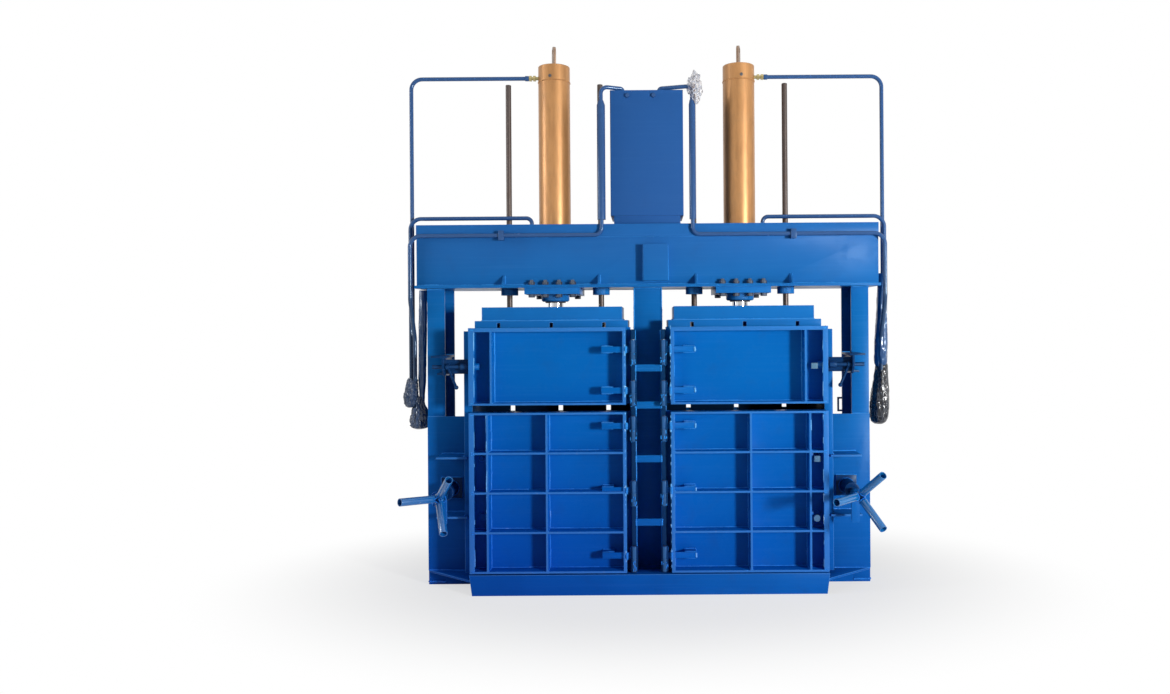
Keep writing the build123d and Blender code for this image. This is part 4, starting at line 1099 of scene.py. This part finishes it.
class BALER_OT_frame_welds(bpy.types.Operator):
    """Welds the base, columns, walls, hinge ladder and crosshead"""

    bl_idname = "baler.frame_welds"
    bl_label = "Weld the Frame"

    def execute(self, context):
        shop = WeldShop(31)
        for _, sign in SIDES:
            shop.sign = sign
            hinge_posts(shop)
            side_frame(shop)
        shop.sign = 1
        crosshead_beads(shop)
        base_beads(shop)
        shop.piece("frame_welds", "frame", "frame_paint")
        column_staple()
        rear_strips()
        return {"FINISHED"}


PLUG = (
    (0.0, 0.0), (0.010, 0.0), (0.010, 0.005), (0.0075, 0.0065), (0.004, 0.0065),
    (0.0035, 0.003), (0.0, 0.003),
)
WIPER = (
    (0.0508, 1.7925), (0.0508, 1.787), (0.056, 1.784), (0.064, 1.784), (0.066, 1.787),
    (0.066, 1.7925),
)
SCREW = (
    (0.0, 0.0), (0.0105, 0.0), (0.0105, 0.010), (0.0095, 0.0115), (0.0055, 0.0115),
    (0.0052, 0.004), (0.0, 0.004),
)


def barrel_rings(side, sign):
    """The weld rings at a cylinder's cap and foot, and its bleed plug."""
    shop = WeldShop(41 + sign, sign)
    shop.ring(CHAMBER_X, 0, 3.213, 0.1025, "Z", 0.62, 48)
    shop.ring(CHAMBER_X, 0, 2.2765, 0.1035, "Z", 0.9, 48)
    shop.piece(f"{side}_cylinder_welds", "frame", "cylinder_paint", "cylinder_paint")
    bm = bmesh.new()
    angle = math.asin(PLUGS[side] / BARREL_RADIUS) - math.pi / 2
    way = Vector((math.cos(angle), math.sin(angle), 0))
    point = Vector((
        sign * CHAMBER_X + BARREL_RADIUS * math.cos(angle), BARREL_RADIUS * math.sin(angle),
        3.237,
    ))
    add_copies(bm, turned_part(PLUG, 24), along(point, point + way))
    piece(f"{side}_bleed_plug", bm, "frame", "bare_steel", "cast_motor")


def ram_parts(side, sign):
    """The rod's wiper, the cap screws in its foot and the nuts of the guide rods."""
    middle = sign * CHAMBER_X
    bm = turned_part(WIPER, 48)
    bmesh.ops.translate(bm, verts=bm.verts, vec=(middle, 0, 0))
    piece(f"{side}_rod_wiper", bm, "frame", "press_paint", "rubber")
    angles = [math.radians(22.5 + 45 * step) for step in range(8)]
    bm = bmesh.new()
    add_copies(bm, turned_part(SCREW, 20), *(
        Matrix.Translation((
            middle + 0.071 * math.cos(angle), 0.071 * math.sin(angle), 1.698,
        ))
        for angle in angles
    ))
    piece(f"{side}_rod_foot_screws", bm, f"{side}_ram", "zinc_bolt")
    bm = bmesh.new()
    turn = Matrix.Rotation(0.3, 4, "Z")
    add_copies(bm, hexagon_nut(0.027, 0.022), *(
        Matrix.Translation((x, 0, 1.668)) @ turn for x in both(middle, GUIDE_REACH)
    ))
    piece(f"{side}_guide_rod_nuts", bm, f"{side}_ram", "press_paint")


def tray_welds(side, sign):
    """Beads of the platen's tray."""
    shop = WeldShop(51 + sign)
    wide, deep, z = 0.438, 0.240, 1.6685
    left, right = both(sign * CHAMBER_X, wide)
    for y in both(0, deep):
        shop.across(left, right, y, z, 0.9)
    for x in (left, right):
        shop.back(x, -deep, deep, z, 0.9)
    shop.piece(f"{side}_tray_welds", f"{side}_ram", "press_paint")


class BALER_OT_rams(bpy.types.Operator):
    """Adds the cylinders' weld rings and bleed plugs, the wipers and the rod feet's bolts"""

    bl_idname = "baler.rams"
    bl_label = "Finish the Rams"

    def execute(self, context):
        for side, sign in SIDES:
            barrel_rings(side, sign)
            ram_parts(side, sign)
            tray_welds(side, sign)
        return {"FINISHED"}


def lock_screw(side, sign):
    """The threaded spindle with its collar, in place of the plain one."""
    pitch = details().thread_pitch
    crest, root = 0.018, 0.0158
    front, back = -0.5591, -0.230
    collar = -0.4182
    points = [(0.0, front), (0.0165, front), (crest, front + 0.002), (crest, collar)]
    points += [(0.025, collar), (0.025, collar + 0.012), (crest, collar + 0.012)]
    y = collar + 0.016
    while y + pitch < back - 0.006:
        points += [(crest, y), (crest, y + pitch * 0.30), (root, y + pitch * 0.62)]
        y += pitch
    points += [(crest, y), (crest - 0.004, back), (0.0, back)]
    bm = turned_part([(radius, -place) for radius, place in points], 28)
    bmesh.ops.transform(bm, verts=bm.verts, matrix=Matrix.Rotation(math.pi / 2, 4, "X"))
    bmesh.ops.translate(bm, verts=bm.verts, vec=(sign * LOCK.x, 0, LOCK.z))
    bmesh.ops.recalc_face_normals(bm, faces=bm.faces)
    made = piece(f"{side}_threaded_spindle", bm, f"{side}_lock_screw", "bare_steel", "shaded")
    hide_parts(f"{side}_lock_spindle")


def hub_welds(side, sign):
    """Rough beads where the arms meet the hub."""
    shop = WeldShop(61 + sign, sign)
    shop.ring(LOCK.x, -0.5585, LOCK.z, 0.0195, "Y", 0.9, 20)
    flip = Vector((sign, 1, 1))
    root = Vector((LOCK.x, -0.5291, LOCK.z))
    for turn in range(3):
        angle = math.radians((60 if sign > 0 else 54) + 120 * turn)
        tip = Vector((
            LOCK.x + 0.178 * math.cos(angle), root.y - 0.205, LOCK.z + 0.178 * math.sin(angle),
        ))
        way = (tip - root).normalized()
        centre = root + way * 0.044
        side_way = way.cross(Vector((0, 1, 0))).normalized()
        up_way = way.cross(side_way)
        ring = []
        for step in range(21):
            around = 2 * math.pi * step / 20
            reach = side_way * math.cos(around) + up_way * math.sin(around)
            ring.append((centre + reach * 0.0225) * flip)
        for start, end in zip(ring, ring[1:]):
            shop.lay(start, end, 0.75)
    shop.piece(f"{side}_star_welds", f"{side}_lock_screw", "lock_paint")


class BALER_OT_locks(bpy.types.Operator):
    """Cuts the lock screws' threads and welds the star handles' arms"""

    bl_idname = "baler.locks"
    bl_label = "Finish the Locks"

    def execute(self, context):
        for side, sign in SIDES:
            lock_screw(side, sign)
            hub_welds(side, sign)
        return {"FINISHED"}


PORT = (
    (0.0133, 0.0), (0.0165, 0.0), (0.0172, 0.004), (0.0172, 0.020), (0.0165, 0.024),
    (0.0133, 0.024),
)


def pipe_unions(side, sign):
    """A union on the crosshead, the nut at the tank's inlet and one on its front."""
    bm = bmesh.new()
    half = details().nut_size * 0.9
    start, way = Vector((sign * 0.696, -0.046, 1.990)), Vector((sign, 0, 0))
    for begin, length, scale in ((0.0, 0.018, 1.0), (0.020, 0.014, 0.92), (0.036, 0.018, 1.0)):
        point = start + way * begin
        add_copies(bm, hexagon_nut(half * scale, length), along(point, point + way))
    inlet = Matrix.Translation((INLETS[side], -0.143, 3.1168))
    add_copies(bm, hexagon_nut(half, 0.009), inlet)
    point = Vector((0.045 if sign > 0 else -0.120, -0.190, 3.083))
    add_copies(bm, hexagon_nut(0.0125, 0.013), along(point, point - Vector((0, 1, 0))))
    return bm


class BALER_OT_pipes(bpy.types.Operator):
    """Adds the pipes' compression nuts, unions and sleeves"""

    bl_idname = "baler.pipes"
    bl_label = "Fit the Pipe Nuts"

    def execute(self, context):
        for side, sign in SIDES:
            bm = pipe_unions(side, sign)
            wide = 0.021 if sign > 0 else 0.026
            sleeve = turned_part((
                (0.0132, 2.300), (wide, 2.300), (wide, 3.020), (0.0155, 3.050), (0.0132, 3.050),
            ), 28)
            bmesh.ops.translate(sleeve, verts=sleeve.verts, vec=(sign * 0.287, -0.203, 0))
            piece(f"{side}_pipe_sleeve", sleeve, "frame", "pipe_paint")
            piece(f"{side}_pipe_unions", bm, "frame", "pipe_paint")
            bm = bmesh.new()
            start = Vector((sign * 0.7635, 0, 3.245))
            port = along(start, start + Vector((sign, 0, 0)))
            add_copies(bm, turned_part(PORT, 28), port)
            piece(f"{side}_port_sleeve", bm, "frame", "pipe_paint")
        return {"FINISHED"}


# How full a wrap is on its way down: share of the way, share of the width
FOOT = ((0.72, 1.0), (0.88, 0.98), (0.96, 0.80), (1.0, 0.45))
BAG = ((0, 0.36), (0.03, 0.44), (0.20, 0.54), (0.45, 0.86), *FOOT)
BLACK = ((0, 0.52), (0.05, 0.64), (0.25, 0.74), (0.50, 0.90), *FOOT)
SOCK = ((0, 0.62), (0.08, 0.80), (0.30, 0.92), (0.60, 1.0), (0.85, 0.90), (0.95, 0.66), (1.0, 0.40))
SLEEVE = (
    (0, 0.55), (0.04, 0.62), (0.30, 0.72), (0.70, 0.94), (0.85, 0.94), (0.93, 0.55), (1.0, 0.30),
)
STRAND = ((0, 0.90), (0.35, 1.0), (0.75, 0.92), (0.93, 0.62), (1.0, 0.55))

# Name, finish, profile, neck, top, bottom, width, depth, seed, drift, crumple
WRAPS = (
    ("right_film_bundle", "black_film", BLACK,
     (1.508, -0.046), 1.385, 0.990, 0.142, 0.205, 3, -0.024, 0.45),
    ("left_film_bundle", "blue_film", BAG,
     (-1.480, -0.040), 1.185, 0.975, 0.140, 0.150, 5, 0.0, 1.0),
    ("left_film_sock", "blue_film", SOCK,
     (-1.522, -0.052), 1.305, 1.115, 0.104, 0.130, 9, -0.014, 1.0),
    ("right_film_sleeve", "wrapped", SLEEVE,
     (1.517, -0.046), 1.960, 1.290, 0.102, 0.160, 7, -0.019, 0.5),
    ("left_film_sleeve", "wrapped", STRAND,
     (-1.452, -0.040), 1.870, 1.130, 0.064, 0.060, 8, -0.012, 0.6),
)
AROUND, STEPS, FEW_FOLDS = 72, 46, 4


def film_bundle(stops, centre, top, bottom, wide, deep, seed, drift, crumple):
    """A gathered bag of film: a ring drawn downwards, folded and pinched."""
    folds = details().film_folds if stops is BAG else FEW_FOLDS
    bm = bmesh.new()
    bmesh.ops.create_circle(bm, cap_ends=False, radius=1.0, segments=AROUND)
    rings = [list(bm.verts), *drawn_tube(bm, STEPS)]
    dice = random.Random(seed)
    phase = [dice.uniform(0, 6.28) for _ in range(4)]
    for step, ring in enumerate(rings):
        down = step / STEPS
        share = fullness(down, stops)
        for vert in ring:
            angle = math.atan2(vert.co.y, vert.co.x)
            pleat = math.sin(folds * angle + phase[0] + 5 * down)
            pleat += 0.6 * math.sin((folds + 6) * angle + phase[1] - 8 * down)
            spot = Vector((math.cos(angle) * 2.2, math.sin(angle) * 2.2, down * 7 + seed))
            rumple = noise.noise(spot * 1.6) + 0.5 * noise.noise(spot * 4.3)
            crush = abs(noise.noise(spot * 2.9 + Vector((7, 3, 1))))
            folded = 0.045 * pleat + 0.10 * rumple - 0.16 * crush
            reach = share * (0.86 + crumple * folded)
            vert.co.x = centre[0] + drift * down + math.cos(angle) * wide / 2 * reach
            vert.co.y = centre[1] + math.sin(angle) * deep / 2 * reach
            sag = 0.012 * noise.noise(spot * 2.0 + Vector((0, 9, 0)))
            vert.co.z = top + (bottom - top) * down + sag * math.sin(math.pi * down)
    bmesh.ops.recalc_face_normals(bm, faces=bm.faces)
    return bm


def fullness(down, stops):
    """How wide the bag is, from the neck to its gathered foot."""
    for (start, low), (end, high) in zip(stops, stops[1:]):
        if down <= end:
            share = (down - start) / (end - start)
            return low + (high - low) * (share * share * (3 - 2 * share))
    return stops[-1][1]


def film_knot():
    """Clear film knotted over the right supply pipe's top bend."""
    bm = bmesh.new()
    bmesh.ops.create_icosphere(bm, subdivisions=5, radius=1.0)
    middle = Vector((0.300, -0.205, 3.132))
    for vert in bm.verts:
        way = vert.co.normalized()
        crush = noise.noise(way * 2.4) + 0.6 * abs(noise.noise(way * 4.6))
        size = 1 + 0.42 * (crush + 0.12 * noise.noise(way * 12))
        low = max(0.0, -way.z)
        x = way.x * 0.040 * size + 0.026 * low + 0.010 * way.z
        y = way.y * 0.040 * size
        z = way.z * 0.078 * size - 0.026 * low * low
        vert.co = middle + Vector((x, y, z))
    return bm


class BALER_OT_film(bpy.types.Operator):
    """Wraps the pipes' open ends in crumpled stretch film"""

    bl_idname = "baler.film"
    bl_label = "Wrap the Pipe Ends"

    def execute(self, context):
        made = [
            piece(name, film_bundle(*shape), "frame", "stretch_film", look)
            for name, look, *shape in WRAPS
        ]
        for item in made:
            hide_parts("pipe_wraps")
        piece("clear_film_knot", film_knot(), "frame", "stretch_film", "clear_film")
        return {"FINISHED"}


class BALER_OT_tank(bpy.types.Operator):
    """Adds the oil tank's plinth welds, its breather and its rear cover with screws"""

    bl_idname = "baler.tank"
    bl_label = "Finish the Oil Tank"

    FILLER = (
        (0.0, 0.0), (0.034, 0.0), (0.034, 0.010), (0.026, 0.012), (0.026, 0.022),
        (0.030, 0.024), (0.030, 0.050), (0.027, 0.054), (0.0, 0.055),
    )

    def execute(self, context):
        low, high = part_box("oil_tank")
        back, front, top = high.y, low.y, high.z
        shop = WeldShop(71)
        for x in (low.x + 0.022, high.x - 0.022):
            shop.back(x, front + 0.020, back - 0.020, 2.327, 0.6)
        for y in (front + 0.0195, back - 0.0195):
            shop.across(low.x + 0.02, high.x - 0.02, y, 2.2765, 0.8)
        shop.piece("tank_plinth_welds", "frame", "tank_paint", "tank_paint")
        filler = turned_part(self.FILLER, 40)
        bmesh.ops.translate(filler, verts=filler.verts, vec=(0, back - 0.09, top - 0.0005))
        piece("filler_breather", filler, "frame", "cast_motor")
        bm = bmesh.new()
        spots = [Vector((x, back, z)) for x in (-0.195, -0.065, 0.065, 0.195) for z in (2.80, 3.06)]
        places = [along(spot, spot + Vector((0, 1, 0))) for spot in spots]
        add_copies(bm, hexagon_nut(0.0065, 0.005), *places)
        piece("tank_cover_screws", bm, "frame", "zinc_bolt")
        cover = bmesh.new()
        add_block(cover, (0, back + 0.001, 2.93), (0.424, 0.004, 0.300))
        bevelled(cover, cover.edges[:], 0.001)
        piece("tank_rear_cover", cover, "frame", "tank_paint")
        return {"FINISHED"}


# Name, place, target, the setting of its power, size, colour
LAMPS = (
    ("Key lamp", (6.3, -7.2, 1.9), (0, -0.2, 1.5), "key_power", (1.1, 1.3),
     (1.0, 0.99, 0.97)),
    ("Fill lamp", (-6.2, -6.6, 3.0), (0, -0.2, 1.4), "fill_power", (4.0, 3.0),
     (0.93, 0.97, 1.0)),
    ("Top lamp", (0.6, -1.0, 7.2), (0, 0, 1.5), "top_power", (5.0, 4.0), PLAIN),
    ("Side lamp", (-6.0, -1.6, 3.2), (-0.6, 0, 2.8), "side_power", (1.6, 2.6), PLAIN),
)


def studio_floor():
    """A white floor that keeps the baler's shadow and fades into the backdrop."""
    bm = bmesh.new()
    bmesh.ops.create_grid(bm, x_segments=8, y_segments=8, size=30)
    mesh = bpy.data.meshes.new("studio_floor")
    bm.to_mesh(mesh)
    bm.free()
    made = bpy.data.materials.new("Studio floor")
    made.use_nodes = True
    sheet = Sheet(made.node_tree)
    paint = sheet.tree.nodes["Principled BSDF"]
    sheet.fill(paint, {
        "Base Color": (0.86, 0.86, 0.86, 1), "Roughness": 0.85, "Specular IOR Level": 0.1,
    })
    flat = sheet.stretched(sheet.place(), (0.42, 0.62, 1.0))
    away = sheet.node("VectorMath", {0: flat}, operation="LENGTH").outputs["Value"]
    lit = sheet.plus(sheet.times(sheet.ramp(away, 0.50, 1.25), 0.37), 0.63)
    white = sheet.node("Emission", {"Strength": 1.0})
    sheet.blend(sheet.times(lit, sheet.direct()), paint, white, "Material Output")
    mesh.materials.append(made)
    ground = placed("studio_floor", mesh)


def studio_lamp(name, place, target, power, size, colour):
    """An area lamp aimed at a point."""
    data = bpy.data.lights.new(name, "AREA")
    data.shape = "RECTANGLE"
    data.size, data.size_y = size
    data.energy = getattr(bpy.context.scene.baler_studio, power)
    data.color = colour
    made = placed(name, data)
    made.location = place
    way = Vector(target) - Vector(place)
    made.rotation_euler = way.to_track_quat("-Z", "Y").to_euler()


def studio_world(strength):
    """White for the camera and reflections, softer for the light on the baler."""
    world = bpy.data.worlds.new("Studio")
    world.use_nodes = True
    bpy.context.scene.world = world
    sheet = Sheet(world.node_tree)
    soft = sheet.node("Background", {"Color": (0.93, 0.96, 1.0, 1), "Strength": strength})
    bright = sheet.node("Background", {"Color": (1, 1, 1, 1), "Strength": 1.0})
    sheet.blend(sheet.direct(), soft, bright, "World Output")


def studio_camera(lens):
    """The camera of the photo."""
    data = bpy.data.cameras.new("Photo camera")
    data.sensor_width = 36
    data.lens = lens
    data.shift_x, data.shift_y = -0.0538, -0.0188
    data.clip_end = 200
    made = placed("Photo camera", data)
    made.location = (0, -5.910, 1.636)
    made.rotation_euler = (math.radians(90), math.radians(0.4), 0)
    return made


class BALER_OT_studio(bpy.types.Operator):
    """Sets the white floor, the lamps, the world and the camera"""

    bl_idname = "baler.studio"
    bl_label = "Set Up the Studio"

    def execute(self, context):
        studio = context.scene.baler_studio
        studio_floor()
        for lamp in LAMPS:
            studio_lamp(*lamp)
        studio_world(studio.room_light)
        context.scene.camera = studio_camera(studio.lens)
        context.scene.view_settings.view_transform = "Standard"
        return {"FINISHED"}


class BALER_PT_panel(bpy.types.Panel):
    """The baler's settings and its operators"""

    bl_idname = "BALER_PT_panel"
    bl_label = "Recycling Baler"
    bl_space_type = "VIEW_3D"
    bl_region_type = "UI"
    bl_category = "Baler"

    def draw(self, context):
        layout = self.layout
        for settings in SETTINGS:
            group = getattr(context.scene, settings)
            box = layout.box()
            for name in group.bl_rna.properties.keys():
                if name not in ("rna_type", "name"):
                    box.prop(group, name)
        for operator in OPERATORS:
            layout.operator(operator.bl_idname)


SETTINGS = ("baler_paint", "baler_details", "baler_studio")
OPERATORS = (
    BALER_OT_paint, BALER_OT_door_welds, BALER_OT_frame_welds, BALER_OT_rams, BALER_OT_locks,
    BALER_OT_pipes, BALER_OT_film, BALER_OT_tank, BALER_OT_studio,
)
CLASSES = (BALER_PG_paint, BALER_PG_details, BALER_PG_studio, *OPERATORS, BALER_PT_panel)


def register():
    """Adds the classes and the scene's settings."""
    for item in CLASSES:
        bpy.utils.register_class(item)
    bpy.types.Scene.baler_paint = PointerProperty(type=BALER_PG_paint)
    bpy.types.Scene.baler_details = PointerProperty(type=BALER_PG_details)
    bpy.types.Scene.baler_studio = PointerProperty(type=BALER_PG_studio)


def unregister():
    """Takes them away again."""
    for name in SETTINGS:
        delattr(bpy.types.Scene, name)
    for item in reversed(CLASSES):
        bpy.utils.unregister_class(item)


def main():
    """Dresses the baler."""
    register()
    bpy.ops.baler.paint()
    bpy.ops.baler.door_welds()
    bpy.ops.baler.frame_welds()
    bpy.ops.baler.rams()
    bpy.ops.baler.locks()
    bpy.ops.baler.pipes()
    bpy.ops.baler.film()
    bpy.ops.baler.tank()
    bpy.ops.baler.studio()


if __name__ == "__main__":
    main()
